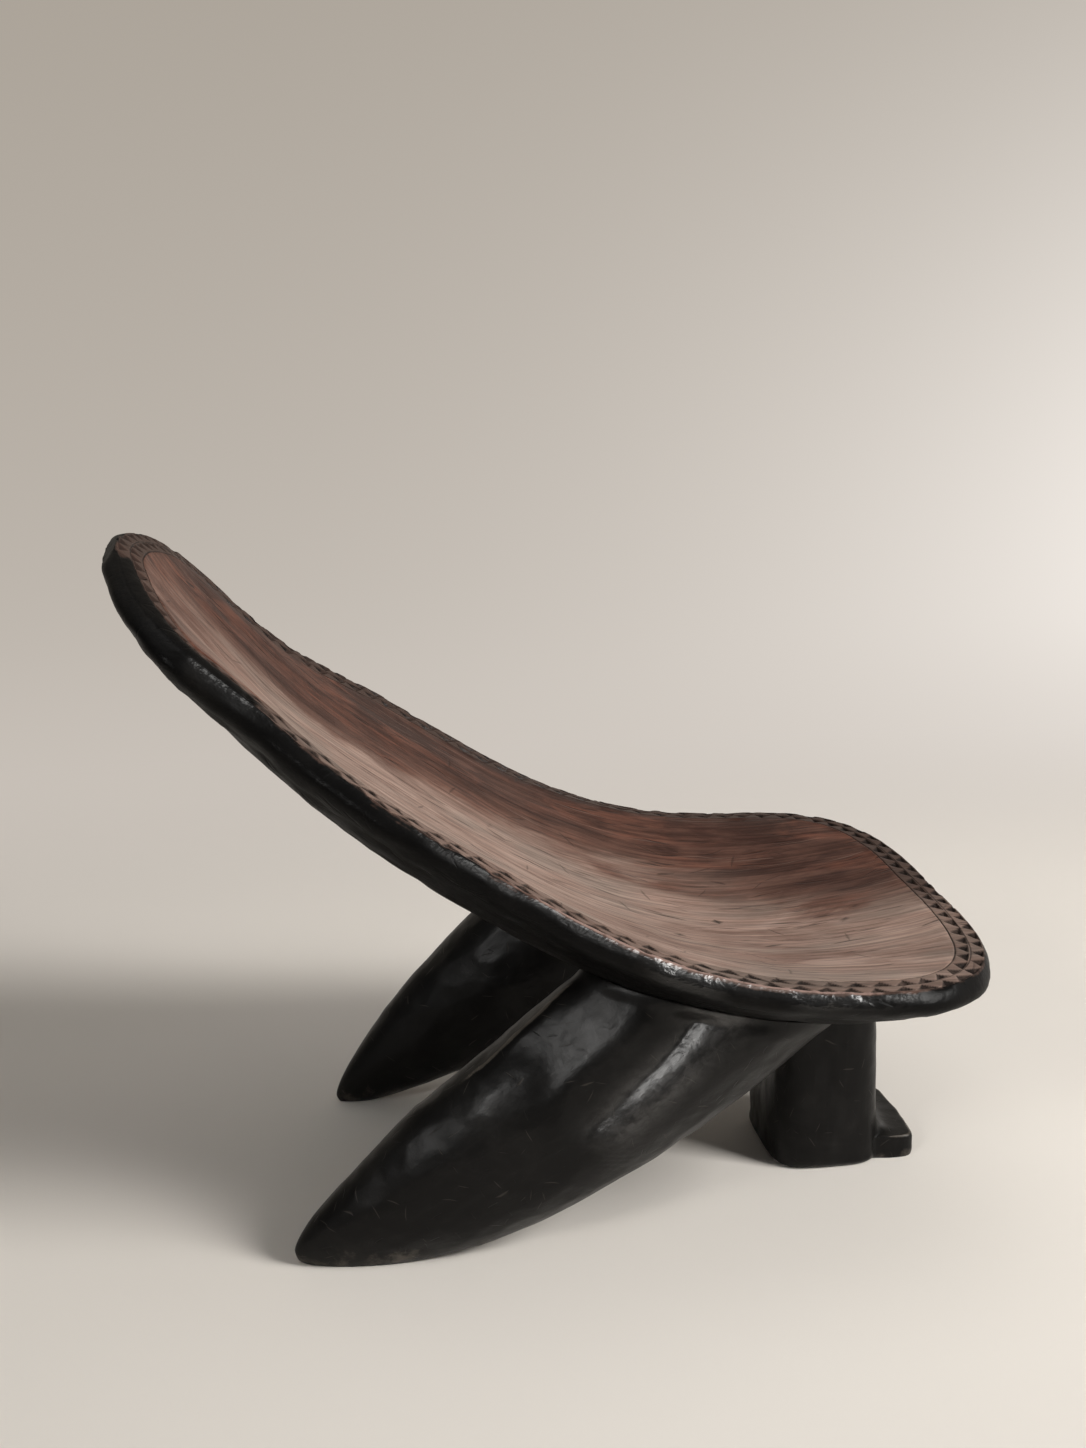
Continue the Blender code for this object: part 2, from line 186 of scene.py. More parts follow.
# Seven-sided faces where a fine ring meets one with a quarter of its points.
def stepFaces(fineFirst, coarseFirst, coarseCount, fineIsFirst):
    here = np.arange(coarseCount)
    after = (here + 1) % coarseCount
    fine = fineFirst + (here[:, None] * 4 + np.arange(5)) % (coarseCount * 4)
    pair = coarseFirst + beside(after, here)
    if fineIsFirst:
        return np.concatenate([fine, pair], axis=1)
    return np.concatenate([fine[:, ::-1], pair[:, ::-1]], axis=1)


# Puts points, faces and named values into a mesh, joins what coincides, and adds it to the scene.
def makePiece(name, points, faceSets, values, node):
    mesh = bpy.data.meshes.new(name)
    faces = [face for some in faceSets for face in some.tolist()]
    mesh.from_pydata(points.tolist(), [], faces)
    for key, value in values.items():
        kind, field = ("FLOAT_VECTOR", "vector") if value.ndim == 2 else ("FLOAT", "value")
        layer = mesh.attributes.new(key, kind, "POINT")
        layer.data.foreach_set(field, value.astype(np.float32).ravel())
    work = bmesh.new()
    work.from_mesh(mesh)
    bmesh.ops.remove_doubles(work, verts=work.verts, dist=joinWithin)
    bmesh.ops.recalc_face_normals(work, faces=work.faces)
    work.to_mesh(mesh)
    work.free()
    mesh.shade_smooth()
    piece = addObject(name, mesh)
    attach(piece, "root")
    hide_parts(node)
    print(name, "made:", len(mesh.vertices), "points, about", sum(len(face) - 2 for face in faces), "triangles")
    return piece


seatShape = Values(
    # rim line from the front edge to the top of the back
    rimFrontHeight=0.288, sweep=0.992, seatTilt=2.0, backRake=33.0, headRake=43.5,
    backBend=(0.11, 0.54), headBend=(0.67, 0.815), lineSteps=1600, loopSteps=6400, smoothing=12,
    seatHalf=0.288, shoulderHalf=0.276, headHalf=0.207, shoulderAt=0.617, neckAt=0.833,
    frontRound=0.20, frontSquare=3.2, headRound=0.10, headSquare=1.6,
    # hollow and belly
    lip=0.031, lipFall=0.002, seatHollow=0.036, headHollow=0.024, leastHalf=0.00005,
    frontRun=0.26, headRun=0.24, softness=1.25,
    frontFloor=0.036, seatFloor=0.044, headFloor=0.031,
    bulge=0.010, bulgeDepth=0.034, bellySquare=2.4, spineFront=0.20, spineHead=0.18,
    bellySteps=14, leastSide=0.001,
    # where the carver's eye strayed: place along and across, lift, spread
    strays=((0.05, 0.22, 0.008, 0.11), (0.93, 0.14, 0.007, 0.09), (0.96, -0.12, -0.005, 0.07)),
    # how far each side's lip leans in, by place along, and how far in from it that dies out
    leftLean=((0.0, 0.0), (0.35, 0.0), (0.5, 0.006), (0.85, 0.006), (0.95, 0.002), (0.992, 0.0)),
    rightLean=((0.0, 0.002), (0.25, 0.003), (0.5, 0.0013), (0.8, 0.0013), (0.88, 0.003), (0.992, 0.006)),
    leanFade=0.09, leanSide=(0.08, 0.24),
    # where the edge is thicker: place along and across, depth, spread
    sags=((0.03, -0.21, 0.006, 0.10), (0.90, -0.22, 0.006, 0.10)), sagSkew=0.6,
    # where the lip's outer part is rounded over into the edge: the same four, and how far in and down that reaches
    overs=((0.90, -0.19, 0.006, 0.07), (0.97, -0.11, 0.006, 0.06)), overReach=0.019, overDrop=0.045,
    overBlack=(0.0015, 0.0045), overSoft=0.6,
    # rounding of the worn top edge, and its rings: rise and share of the bites out of it
    arris=0.0016,
    arrisRings=((0.0001, 1.0), (0.0004, 0.9), (0.0009, 0.7), (0.0014, 0.4), (0.0022, 0.1)),
    # rings of the hollow and of the edge, and how they crowd
    hollowFrom=0.0336, hollowRings=30, hollowCrowd=1.15,
    edgeFrom=0.0038, edgeRings=40, edgeCrowd=1.12, sideRing=10,
    # tool marks: depth, size, seed, and the middle level of scallops
    adzeCuts=((0.0009, (0.085, 0.040, 1.0), 21, 0.45),), adzeShift=3.0, adzeCalm=(0.9, 1.0),
    adzeWaves=((0.0011, (0.20, 0.055, 1.0), 22), (0.0005, (0.06, 0.02, 1.0), 23)),
    dents=((0.00035, 0.018, 32), (0.00022, 0.006, 33)), wander=((0.0005, 0.05, 31),),
    bites=(0.0011, (0.011, 0.011, 1.0), 34, (0.25, 0.85)), biteSpread=0.4,
    edgeMarks=((0.0011, 0.055, 41), (0.0012, (0.06, 0.045, 0.03), 42, 0.4),
               (0.0007, (0.024, 0.024, 0.012), 43), (0.0004, 0.009, 44)),
    edgeCalm=((0.0, 1.0, 0.25), ((0.0, 0.05), (0.45, 0.8))), edgeEnd=(0.97, 1.0),
    # carved border
    border=Values(
        teeth=104, perTooth=14, seed=11,
        rows=((0.0016, 0.0144, 0.0), (0.0160, 0.0298, 0.37)),  # base and apex of the chips, and row shift
        halfBase=0.48, sideSteep=0.52, baseSteep=1.6, deepest=0.0042, stainFrom=0.0006,
        # least and most of each tooth's middle, lean, half base, base, apex and force
        chance=((-0.06, 0.06), (-0.16, 0.16), (-0.06, 0.04), (-0.0006, 0.0006), (-0.0014, 0.0010), (0.75, 1.15)),
        # painted shade on the chips: the share of stain kept on the side that faces the light, and how much more it
        # keeps where hidden
        sunlit=(0.5, 0.45), hiddenSide=(0.1, 0.24), wanderShare=0.6,
        grooves=((0.0150, 0.0008, 0.0007), (0.0307, 0.0010, 0.0011)),  # place, half width, depth
        # rings across the lip, from the hollow out
        hollowInsets=(0.0332, 0.0322, 0.0317, 0.0312, 0.0307, 0.0302, 0.0297), innerRow=(0.0288, 0.0168, 15),
        middleInsets=(0.0162, 0.0158, 0.0154, 0.0150, 0.0146, 0.0142), outerRow=(0.0136, 0.0022, 14),
    ),
    # wear of the top, with a painted sheen that pales its near side: levels, and the stretches along the seat over
    # which each eases to the next
    wear=Values(
        turn=((-0.15, 0.40, 0.26, 0.06), ((0.02, 0.35), (0.50, 0.72), (0.88, 0.97))),
        soft=((1.0, 0.6), ((0.40, 0.60),)), headDark=((1.0, 0.35), ((0.70, 0.95),)),
        fall=(-0.35, 0.45), leastHalf=0.02,
        # the near side, what is handled and what is gripped there
        nearSide=(0.08, 0.22), nearFrom=(0.10, 0.24), handledTo=(0.45, 0.60), handled=(0.35, 0.65),
        grippedTo=(0.34, 0.46),
        # how the brown and the pale line give way to black over the arris
        arrisFade=(0.0004, 0.0022), edgeFade=(0.0022, 0.0075), half=0.5, leastTop=0.15,
        lineWidth=0.0011, lineFade=(0.0006, 0.0024), borderEnd=(0.0295, 0.0315),
        # gloss by place
        blotch=((0.07, 0.07, 0.03), 45), blotchEase=(-0.45, 0.45),
        rubbedFrom=(0.0012, 0.0045), rubbedTo=(0.010, 0.028),
        gloss=Values(hollow=0.10, lip=0.04, least=0.02, gripped=0.7, handled=0.3, rubbed=(0.03, 0.95)),
    ),
)


# Rim line: slope eases from the seat's tilt to the back's rake and the head's; x and z are its running sums.
def rimLine():
    s = seatShape
    along = np.linspace(0.0, s.sweep, s.lineSteps)
    tilts = (s.seatTilt, s.backRake, s.headRake)
    slope = np.radians(easedLevels(along, tilts, (s.backBend, s.headBend)))
    run, rise = (
        np.concatenate([[0.0], np.cumsum((part[1:] + part[:-1]) / 2 * along[1])])
        for part in (np.cos(slope), np.sin(slope))
    )
    return along, -run, s.rimFrontHeight + rise, slope


lineAlong, lineX, lineZ, lineSlope = rimLine()


# Half width of the rim: eased from seat to shoulder to head, closed at both ends by superellipses.
def rimHalf(along):
    s = seatShape
    halves = (s.seatHalf, s.shoulderHalf, s.headHalf)
    width = easedLevels(along, halves, ((s.frontRound, s.shoulderAt), (s.shoulderAt, s.neckAt)))
    front = superClose(1.0 - along / s.frontRound, s.frontSquare)
    return width * front * superClose(1.0 - (s.sweep - along) / s.headRound, s.headSquare)


# Even points round the rim in (along, y), with the inward direction at each, smoothed over its neighbours.
def rimLoop(count):
    s = seatShape
    along = s.sweep * (1.0 - np.cos(np.linspace(0.0, math.pi, s.loopSteps))) / 2
    right = beside(along, -rimHalf(along))
    loop = np.concatenate([right, (right * (1.0, -1.0))[::-1][1:]])
    travelled = np.concatenate([[0.0], np.cumsum(np.linalg.norm(np.diff(loop, axis=0), axis=1))])
    stations = np.linspace(0.0, travelled[-1], count, endpoint=False)
    points = beside(*(np.interp(stations, travelled, column) for column in loop.T))
    heading = np.roll(points, -1, axis=0) - np.roll(points, 1, axis=0)
    inward = beside(-heading[:, 1], heading[:, 0])
    inward = unit(sum(np.roll(inward, shift, axis=0) for shift in range(-s.smoothing, s.smoothing + 1)))
    inward *= np.sign(np.sum((np.array([s.sweep / 2, 0.0]) - points) * inward))
    return points, inward, travelled[-1]


rimPoints, rimInward, rimLength = rimLoop(seatShape.border.teeth * seatShape.border.perTooth)
lipRight = (rimPoints + rimInward * seatShape.lip)[: len(rimPoints) // 2 + 1]


# Sum of bells round places on the seat, each with its height and spread.
def bells(along, y, places):
    total = 0.0
    for atAlong, atY, height, spread in places:
        total = total + height * np.exp(-((along - atAlong) ** 2 + (y - atY) ** 2) / (2.0 * spread ** 2))
    return total


# World place of (along, y) sunk by depth at right angles to the rim line, with the strays added.
def seatPlace(plan, depth, frontX):
    along, y = plan[..., 0], plan[..., 1]
    slope = np.interp(along, lineAlong, lineSlope)
    x = frontX + np.interp(along, lineAlong, lineX) - depth * np.sin(slope)
    z = np.interp(along, lineAlong, lineZ) - depth * np.cos(slope) + bells(along, y, seatShape.strays)
    return beside(x, y, z)


# Lean of the lip into the hollow: an even fall from the rim to the lip's inner edge, dying out further in.
def lipLean(inset, rim):
    s = seatShape
    fall = np.clip(inset / s.lip, 0.0, 1.0) * easeDown(inset, s.lip, s.lip + s.leanFade)
    right, left = (np.interp(rim[:, 0], *np.transpose(s[key])) for key in ("rightLean", "leftLean"))
    return fall * (right * easeStep(-rim[:, 1], *s.leanSide) + left * easeStep(rim[:, 1], *s.leanSide))


# Depth of the hollow along its middle.
def hollowMiddle(along):
    s = seatShape
    return easedLevels(along, (s.seatHollow, s.headHollow), ((s.backBend[1], s.neckAt),))


# Depth of the hollow: its middle depth, round across the lip's width, running out as a parabola at both ends.
def hollowAt(plan):
    s = seatShape
    along, y = plan[..., 0], plan[..., 1]
    half = np.interp(along, lipRight[:, 0], -lipRight[:, 1])
    across = np.clip(1.0 - (y / np.maximum(half, s.leastHalf)) ** 2, 0.0, 1.0)
    ends = 1.0
    for gap, run in ((along - s.lip, s.frontRun), (s.sweep - s.lip - along, s.headRun)):
        ends = ends * (1.0 - (1.0 - np.clip(gap / run, 0.0, 1.0)) ** 2)
    return hollowMiddle(along) * across ** s.softness * ends


# Depth of the belly under the spine: the hollow plus a floor that eases from front to seat to head.
def bellyFull(along):
    s = seatShape
    floors = (s.frontFloor, s.seatFloor, s.headFloor)
    stretches = ((0.0, s.frontRound), (s.backBend[1], s.sweep))
    return hollowMiddle(along) + easedLevels(along, floors, stretches)


# Height of the belly over a floor point: a superellipse across the seat, at a place along the rim line found by
# stepping between depth and place until they agree.
def bellyHeight(x, y, frontX):
    s = seatShape
    along = np.interp(x - frontX, lineX[::-1], lineAlong[::-1])
    for step in range(s.bellySteps):
        inFront = np.clip((s.spineFront - along) / s.spineFront, 0.0, 1.0)
        side = np.abs(y) / np.maximum(rimHalf(np.maximum(along, s.spineFront)), s.leastSide)
        reach = (inFront ** s.frontSquare + side ** s.frontSquare) ** (1.0 / s.frontSquare)
        depth = s.lipFall + (bellyFull(along) - s.lipFall) * superClose(reach, s.bellySquare)
        slope = np.interp(along, lineAlong, lineSlope)
        along = np.interp(x - frontX + depth * np.sin(slope), lineX[::-1], lineAlong[::-1])
    return np.interp(along, lineAlong, lineZ) - depth * np.cos(slope) + bells(along, y, s.strays)


# Worn share of the top, partly wear and partly a painted sheen on the near side: an eased fall from 1 on the near side
# to 0 on the far one, at its own place along the seat.
def wornAndSheenShare(plan):
    w = seatShape.wear
    along, y = plan[..., 0], plan[..., 1]
    across = y / np.maximum(rimHalf(along) - seatShape.lip, w.leastHalf)
    turn, soft, dark = (easedLevels(along, *w[key]) for key in ("turn", "soft", "headDark"))
    return easeDown(across, turn + w.fall[0] * soft, turn + w.fall[1] * soft) * dark


# Chip cuts at insets from the rim: in each tooth a triangle with its base to the rim, as deep as its nearest side is
# far, times that side's steepness; and its stain with painted shade: full on the side that faces away from the light,
# lighter on the side that faces the light unless it is hidden.
def chipDepth(inset, phase, tooth, hidden):
    c = seatShape.border
    dice = np.random.default_rng(c.seed)
    pitch = rimLength / c.teeth
    total = np.zeros(np.broadcast_shapes(inset.shape, phase.shape))
    stainAndShade = total
    for base, apex, shift in c.rows:
        here = (phase + shift) % 1.0
        number = (tooth + np.floor(phase + shift).astype(int)) % c.teeth
        middle, lean, half, foot, point, force = (
            dice.uniform(least, most, c.teeth)[number] for least, most in c.chance
        )
        foot, point = base + foot, apex + point
        share = (point - inset) / (point - foot)
        ridge = 0.5 + middle + lean * (1.0 - share)
        sideGap = ((c.halfBase + half) * share - np.abs(here - ridge)) * pitch
        cut = np.minimum(sideGap * c.sideSteep, (inset - foot) * c.baseSteep)
        inside = share > 0.0
        total = total + np.clip(cut, 0.0, c.deepest) * force * inside
        sunlit = np.where(here > ridge, c.sunlit[0] + c.sunlit[1] * hidden, 1.0)
        stainAndShade = np.maximum(stainAndShade, np.clip(cut / c.stainFrom, 0.0, 1.0) * inside * sunlit)
    return total, stainAndShade


# Scribed lines: a V of its own half width and depth at each place, wandering a little round the rim.
def grooveDepth(inset, wander):
    total = 0.0
    for place, half, depth in seatShape.border.grooves:
        total = total + depth * np.clip(1.0 - np.abs(inset - place - wander) / half, 0.0, 1.0)
    return total


# Plan points with a third value beside them.
def withThird(plan, third=0.0):
    return np.concatenate([plan, np.broadcast_to(third, plan.shape[:-1])[..., None]], axis=-1)


# The whole seat as rings: hollow from the spine out, carved lip, worn arris, bull-nosed edge, belly in to the spine.
def makeSeat():
    s, c, w = seatShape, seatShape.border, seatShape.wear
    fineCount = len(rimPoints)
    coarse, coarseCount = slice(0, fineCount, 4), fineCount // 4
    station = np.arange(fineCount)
    tooth, phase = station // c.perTooth, (station % c.perTooth) / c.perTooth
    rimAlong, rimSide = rimPoints.T
    rimFlat = withThird(rimPoints)
    spineAlong = np.clip(rimAlong, s.spineFront, s.sweep - s.spineHead)
    spine = beside(spineAlong, np.zeros(fineCount))

    # hollow, with low waves left by the adze
    start = (rimPoints + rimInward * s.hollowFrom)[coarse]
    share = (1.0 - np.linspace(0.0, 1.0, s.hollowRings) ** s.hollowCrowd)[:, None, None]
    hollowPlan = start + (spine[coarse] - start) * share
    hollowFlow = withThird(hollowPlan)
    calm = easeDown(1.0 - share[..., 0], *s.adzeCalm)
    adze = toolMarks(hollowFlow + s.adzeShift, s.adzeCuts) + toolMarks(hollowFlow, s.adzeWaves)
    hollowInset = s.hollowFrom + np.linalg.norm(hollowPlan - start, axis=-1)
    hollowDepth = hollowAt(hollowPlan) + adze * calm + lipLean(hollowInset, start)

    # lip, chip-carved in two rows between scribed lines
    inset = np.concatenate([
        c.hollowInsets, np.linspace(*c.innerRow), c.middleInsets, np.linspace(*c.outerRow), [s.arris],
    ])[:, None]
    lipPlan = rimPoints + rimInward * inset[..., None]
    lipFlow = withThird(lipPlan)
    wander = toolMarks(rimFlat, s.wander)
    over = bells(rimAlong, rimSide, s.overs)
    blacked = easeStep(over, *s.overBlack) * easeDown(inset, s.overReach * s.overSoft, s.overReach)
    hidden = easeStep(-rimSide, *c.hiddenSide)
    chips, chipStainAndShade = chipDepth(inset + wander * c.wanderShare, phase, tooth, hidden)
    chips, chipStainAndShade = chips * (1.0 - blacked), chipStainAndShade * (1.0 - blacked)
    grooves = grooveDepth(inset, wander)
    dents = toolMarks(lipFlow, s.dents)
    plain = np.where(inset > s.lip, hollowAt(lipPlan), s.lipFall * (1.0 - inset / s.lip))
    lipDepth = plain + chips + grooves + dents + lipLean(inset, rimPoints)
    lipDepth = lipDepth + over * np.clip(1.0 - inset / s.overReach, 0.0, 1.0) ** 2

    # arris and edge: the belly's superellipse, swollen in a half sine below the rim, its top corner rounded
    def edgeRing(pick, rise):
        full = bellyFull(rimAlong[pick]) - s.lipFall
        part = np.clip(rise / full, 0.0, 1.0)
        turn = np.arcsin(part ** (s.bellySquare / 2.0))
        inShare = 1.0 - np.cos(turn) ** (2.0 / s.bellySquare)
        plan = rimPoints[pick] + (spine[pick] - rimPoints[pick]) * inShare[..., None]
        drop = (bellyFull(plan[..., 0]) - s.lipFall) * part
        swell = s.bulge * np.sin(math.pi * np.clip(drop / s.bulgeDepth, 0.0, 1.0))
        corner = s.arris - np.clip(drop, 0.0, s.arris)
        pull = s.arris - np.sqrt(np.maximum(s.arris ** 2 - corner ** 2, 0.0))
        sag = bells(rimAlong[pick], rimSide[pick], s.sags) * np.sin(math.pi * part ** s.sagSkew)
        sag = sag + over[pick] * easeDown(drop, 0.0, s.overDrop)
        return plan + rimInward[pick] * (pull - swell)[..., None], s.lipFall + drop + sag

    biteDepth, biteSize, biteSeed, biteEase = s.bites
    bites = biteDepth * easeStep(softWaves(rimFlat, biteSize, biteSeed), *biteEase)
    arrisRise, fade = np.array(s.arrisRings).T[..., None]
    arrisRise = arrisRise + np.zeros(fineCount)
    arrisPlan, arrisDepth = edgeRing(slice(None), arrisRise)
    arrisPlan = arrisPlan + rimInward * (bites * fade)[..., None]
    arrisDepth = arrisDepth + (bites + dents[-1]) * fade
    lipDepth[-1] += bites
    lipDepth[-2] += bites * s.biteSpread

    full = bellyFull(rimAlong[coarse]) - s.lipFall
    turns = np.linspace(0.0, 1.0, s.edgeRings)[:, None] ** s.edgeCrowd
    first = np.arcsin((s.edgeFrom / full) ** (s.bellySquare / 2.0))
    turn = first + (math.pi / 2 - first) * turns
    edgePlan, edgeDepth = edgeRing(coarse, full * np.sin(turn) ** (2.0 / s.bellySquare))

    # the CAD box's middle says where the front edge is
    plainEdge = seatPlace(edgePlan, edgeDepth, 0.0)
    plainX = plainEdge[..., 0]
    low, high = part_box("seat_dish")
    frontX = (low[0] + high[0]) / 2 - (plainX.min() + plainX.max()) / 2
    edge = seatPlace(edgePlan, edgeDepth, frontX)
    ahead = np.roll(edge, -1, axis=1) - np.roll(edge, 1, axis=1)
    normal = unit(np.cross(np.gradient(edge, axis=0), ahead))
    normal *= np.sign(np.sum(normal[s.sideRing, :, :2] * -rimInward[coarse] * (-1.0, 1.0)))
    calm = easedLevels(turns, *s.edgeCalm) * easeDown(turns, *s.edgeEnd)
    rough = toolMarks(edge, s.edgeMarks) * calm
    edge = edge + normal * rough[..., None]

    hollow = seatPlace(hollowPlan, hollowDepth, frontX)
    lip = seatPlace(lipPlan, lipDepth, frontX)
    arris = seatPlace(arrisPlan, arrisDepth, frontX)
    parts = (hollow, lip, arris, edge)

    # one value for each point: what the hollow, lip, arris and edge have, spread over their rings
    def bands(*own):
        return np.concatenate([np.broadcast_to(one, part.shape[:2]).ravel() for one, part in zip(own, parts)])

    drop = edgeDepth - s.lipFall - over[coarse]
    near = easeStep(-rimSide, *w.nearSide) * easeStep(rimAlong, *w.nearFrom)
    handled = w.handled[0] + w.handled[1] * near * easeDown(rimAlong, *w.handledTo)
    gripped = easeDown(rimAlong, *w.grippedTo) * near
    arrisTop = (1.0 - w.half * easeStep(arrisRise, *w.arrisFade)) * (1.0 - blacked[-1])
    edgeTop = w.half * easeDown(drop, *w.edgeFade) * (1.0 - blacked[-1, coarse])
    blotch = easeStep(softWaves(plainEdge, *w.blotch), *w.blotchEase)
    rubbed = easeStep(drop, *w.rubbedFrom) * easeDown(drop, *w.rubbedTo)
    g = w.gloss
    flows = (hollowFlow, lipFlow, withThird(arrisPlan, arrisDepth), withThird(edgePlan, edgeDepth))
    values = {
        "top": bands(1.0, 1.0 - blacked, arrisTop * (w.leastTop + handled), edgeTop),
        "cutStainAndShade": bands(0.0, chipStainAndShade + np.clip(grooves / c.stainFrom, 0.0, 1.0), 0.0, 0.0),
        "rim": bands(0.0, bell(inset - s.arris, w.lineWidth) * handled,
                     easeDown(arrisRise, *w.lineFade) * handled, 0.0),
        # shade: partly wear, partly a painted sheen that pales the near side
        "shade": bands(wornAndSheenShare(hollowPlan), wornAndSheenShare(lipPlan), 0.5, 0.5),
        "border": bands(0.0, easeDown(inset, *w.borderEnd), 1.0, 1.0),
        "flow": np.concatenate([flow.reshape(-1, 3) for flow in flows]),
        "gloss": bands(g.hollow, g.lip * (1.0 - blacked),
                       g.least + g.gripped * gripped + g.handled * handled * near,
                       g.least + rubbed * (g.rubbed[0] + g.rubbed[1] * blotch * gripped[coarse])),
    }
    lipFirst = hollow.shape[0] * coarseCount
    fineRings = lip.shape[0] + arris.shape[0]
    edgeFirst = lipFirst + fineRings * fineCount
    faceSets = [
        ringQuads(0, coarseCount, hollow.shape[0]),
        stepFaces(lipFirst, lipFirst - coarseCount, coarseCount, False),
        ringQuads(lipFirst, fineCount, fineRings),
        stepFaces(edgeFirst - fineCount, edgeFirst, coarseCount, True),
        ringQuads(edgeFirst, coarseCount, edge.shape[0]),
    ]
    points = np.concatenate([part.reshape(-1, 3) for part in parts])
    return makePiece("carvedSeat", points, faceSets, values, "seat_dish"), frontX


carvedSeat, seatFrontX = makeSeat()
print("seat front edge at x", round(float(seatFrontX), 4))

rearLegs = Values(
    tipOut=0.184, topOut=0.172, topBelowRim=0.012, tipRadius=0.005,
    halfDepth=0.107, halfThickness=0.074, swell=2.8, fullness=0.75,
    rings=240, sides=200, crowd=1.25, lidRings=6, gap=0.0003, scan=(0.35, 1.12, 600),
    # tool marks: depth, size, seed, and the middle level of scallops
    facets=((0.0045, (0.17, 0.075, 0.075), 0, 0.42),),
    marks=((0.0013, (0.05, 0.024, 0.024), 9, 0.42), (0.0012, 0.045, 5), (0.0004, 0.014, 6)),
    flatMarks=((0.0009, 0.026, 7),), flatLength=0.13, flatSoft=0.000012, flatCalm=0.55, flatEdge=0.0003, flatFull=0.003,
    tipFade=(0.03, 0.4), topFade=(0.955, 0.995), floorFade=(0.0, 0.02),
    ridgeHigh=0.0050, ridgeDeep=0.0105, ridgeSteep=1.5, ridgeFar=0.036, valley=0.060,
    ridgeGlow=(0.004, 0.020), ridgeCalm=(0.6, 0.05), ridgeEnds=(0.02, 0.2),
    # wider and deeper towards the seat: where, gains, places of its foot and its start and their shifts
    broad=(0.35, 0.75), highGain=0.4, deepGain=0.7, ridgeFoot=(0.014, 0.009), ridgeStart=(-0.012, -0.019),
    ridgeFade=(0.0, 0.14),
    crestHigh=0.002, crestWidth=0.010, crestLine=0.0035, crestEnds=((0.0, 0.2), (0.8, 1.0)), along=0.6, lineSteps=90,
    # what the floor has rubbed, up to a height, and the bare line on the crest
    floorWear=0.7, floorWearTo=(0.004, 0.05), crestWear=1.3,
    right=Values(
        side=-1, tip=(0.720, 0.008), bow=(0.474, 0.106), top=0.253, seed=51,
        # lines on the surface, as shares up the leg and degrees round it
        ridge=((0.545, -17.0), (0.633, -11.0), (0.721, -5.0), (0.799, -2.5), (0.855, 0.0), (0.925, 0.0),
               (0.99, 0.0)),
        crest=((0.384, 76.5), (0.489, 76.0), (0.560, 79.0), (0.635, 82.0), (0.697, 85.0), (0.740, 87.0)),
        # rubbed places, which gloss the coat and also pale the colour as a painted sheen: share, degrees, their
        # spreads, amount
        rubbed=((0.675, 42.0, 0.09, 17.0, 0.22), (0.46, 42.0, 0.05, 13.0, 0.22), (0.88, 9.0, 0.05, 14.0, 1.0),
                (0.30, 62.0, 0.05, 8.0, 0.12)),
        # flats: share and degrees, where they face, how deep they cut
        flats=((0.675, 44.0, (-0.40, -0.79, 0.47), 0.0055),),
    ),
    left=Values(
        side=1, tip=(0.653, 0.001), bow=(0.370, 0.214), top=0.216, seed=61,
        rubbed=((0.5, 60.0, 0.2, 12.0, 0.08),),
    ),
)


# Tusk surface: an ellipse carried along a three-point curve from the tip to the seat, its girth one less a power.
def tuskSurface(line, share, turn):
    r = rearLegs
    topHeight = np.interp(line.top, -lineX, lineZ) - r.topBelowRim
    tip = np.array([seatFrontX - line.tip[0], line.side * r.tipOut, line.tip[1]])
    top = np.array([seatFrontX - line.top, line.side * r.topOut, topHeight])
    bow = np.array([seatFrontX - line.bow[0], line.side * (r.tipOut + r.topOut) / 2, line.bow[1]])
    held = np.clip(share, 0.0, 1.0)[..., None]
    middle = (1 - held) ** 2 * tip + 2 * held * (1 - held) * bow + held ** 2 * top
    tangent = unit((1 - held) * (bow - tip) + held * (top - bow))
    middle = middle + tangent * np.maximum(share - 1.0, 0.0)[..., None]  # past the top it runs straight, in metres
    girth = (1.0 - (1.0 - held[..., 0]) ** r.swell) ** r.fullness
    depth, thickness = (r.tipRadius + (r[key] - r.tipRadius) * girth for key in ("halfDepth", "halfThickness"))
    across = unit(np.cross(tangent, (0.0, 0.0, 1.0)))
    upward = np.cross(across, tangent)
    outward = (thickness * np.cos(turn))[..., None] * across + (depth * np.sin(turn))[..., None] * upward
    return middle + outward, outward, girth


# Shares at which each of a leg's long lines meets the belly: the first sign change, made exact by proportion.
def meetBelly(line, turn):
    share = np.linspace(*rearLegs.scan)[:, None]
    spots = tuskSurface(line, share + 0 * turn, turn + 0 * share)[0]
    over = spots[..., 2] - bellyHeight(spots[..., 0], spots[..., 1], seatFrontX) + rearLegs.gap
    hit = np.maximum(np.argmax(over >= 0.0, axis=0), 1)
    column = np.arange(turn.shape[-1])
    before, after = over[hit - 1, column], over[hit, column]
    part = np.clip(-before / np.maximum(after - before, leastLength), 0.0, 1.0)
    return share[hit - 1, 0] + (share[1, 0] - share[0, 0]) * part


# Lid inside a scribed top: rings drawn in from the top ring to its middle, laid on the belly.
def beddedLid(ring, count, gap):
    share = np.linspace(0.0, 1.0, count + 1)[1:, None, None]
    flat = ring[:, :2] + (ring[:, :2].mean(axis=0) - ring[:, :2]) * share
    return withThird(flat, bellyHeight(flat[..., 0], flat[..., 1], seatFrontX) - gap)


# Gap from every place on a leg to a line drawn on it, plus on the tip's side, and the share along that line: those of
# the nearest of the line's close points.
def besideLine(line, marks, spots, outward):
    marks = np.array(marks)
    at = np.linspace(0.0, len(marks) - 1.0, rearLegs.lineSteps)
    share, turn = (np.interp(at, np.arange(len(marks)), marks[:, i]) for i in (0, 1))
    path = tuskSurface(line, share, np.radians(turn))[0]
    away = spots[..., None, :] - path
    nearest = np.argmin(np.sum(away ** 2, axis=-1), axis=-1)
    away = np.take_along_axis(away, nearest[..., None, None], axis=-2)[..., 0, :]
    side = np.sign(np.sum(away * np.cross(outward, np.gradient(path, axis=0)[nearest]), axis=-1))
    return np.linalg.norm(away, axis=-1) * side, nearest / (len(at) - 1.0)


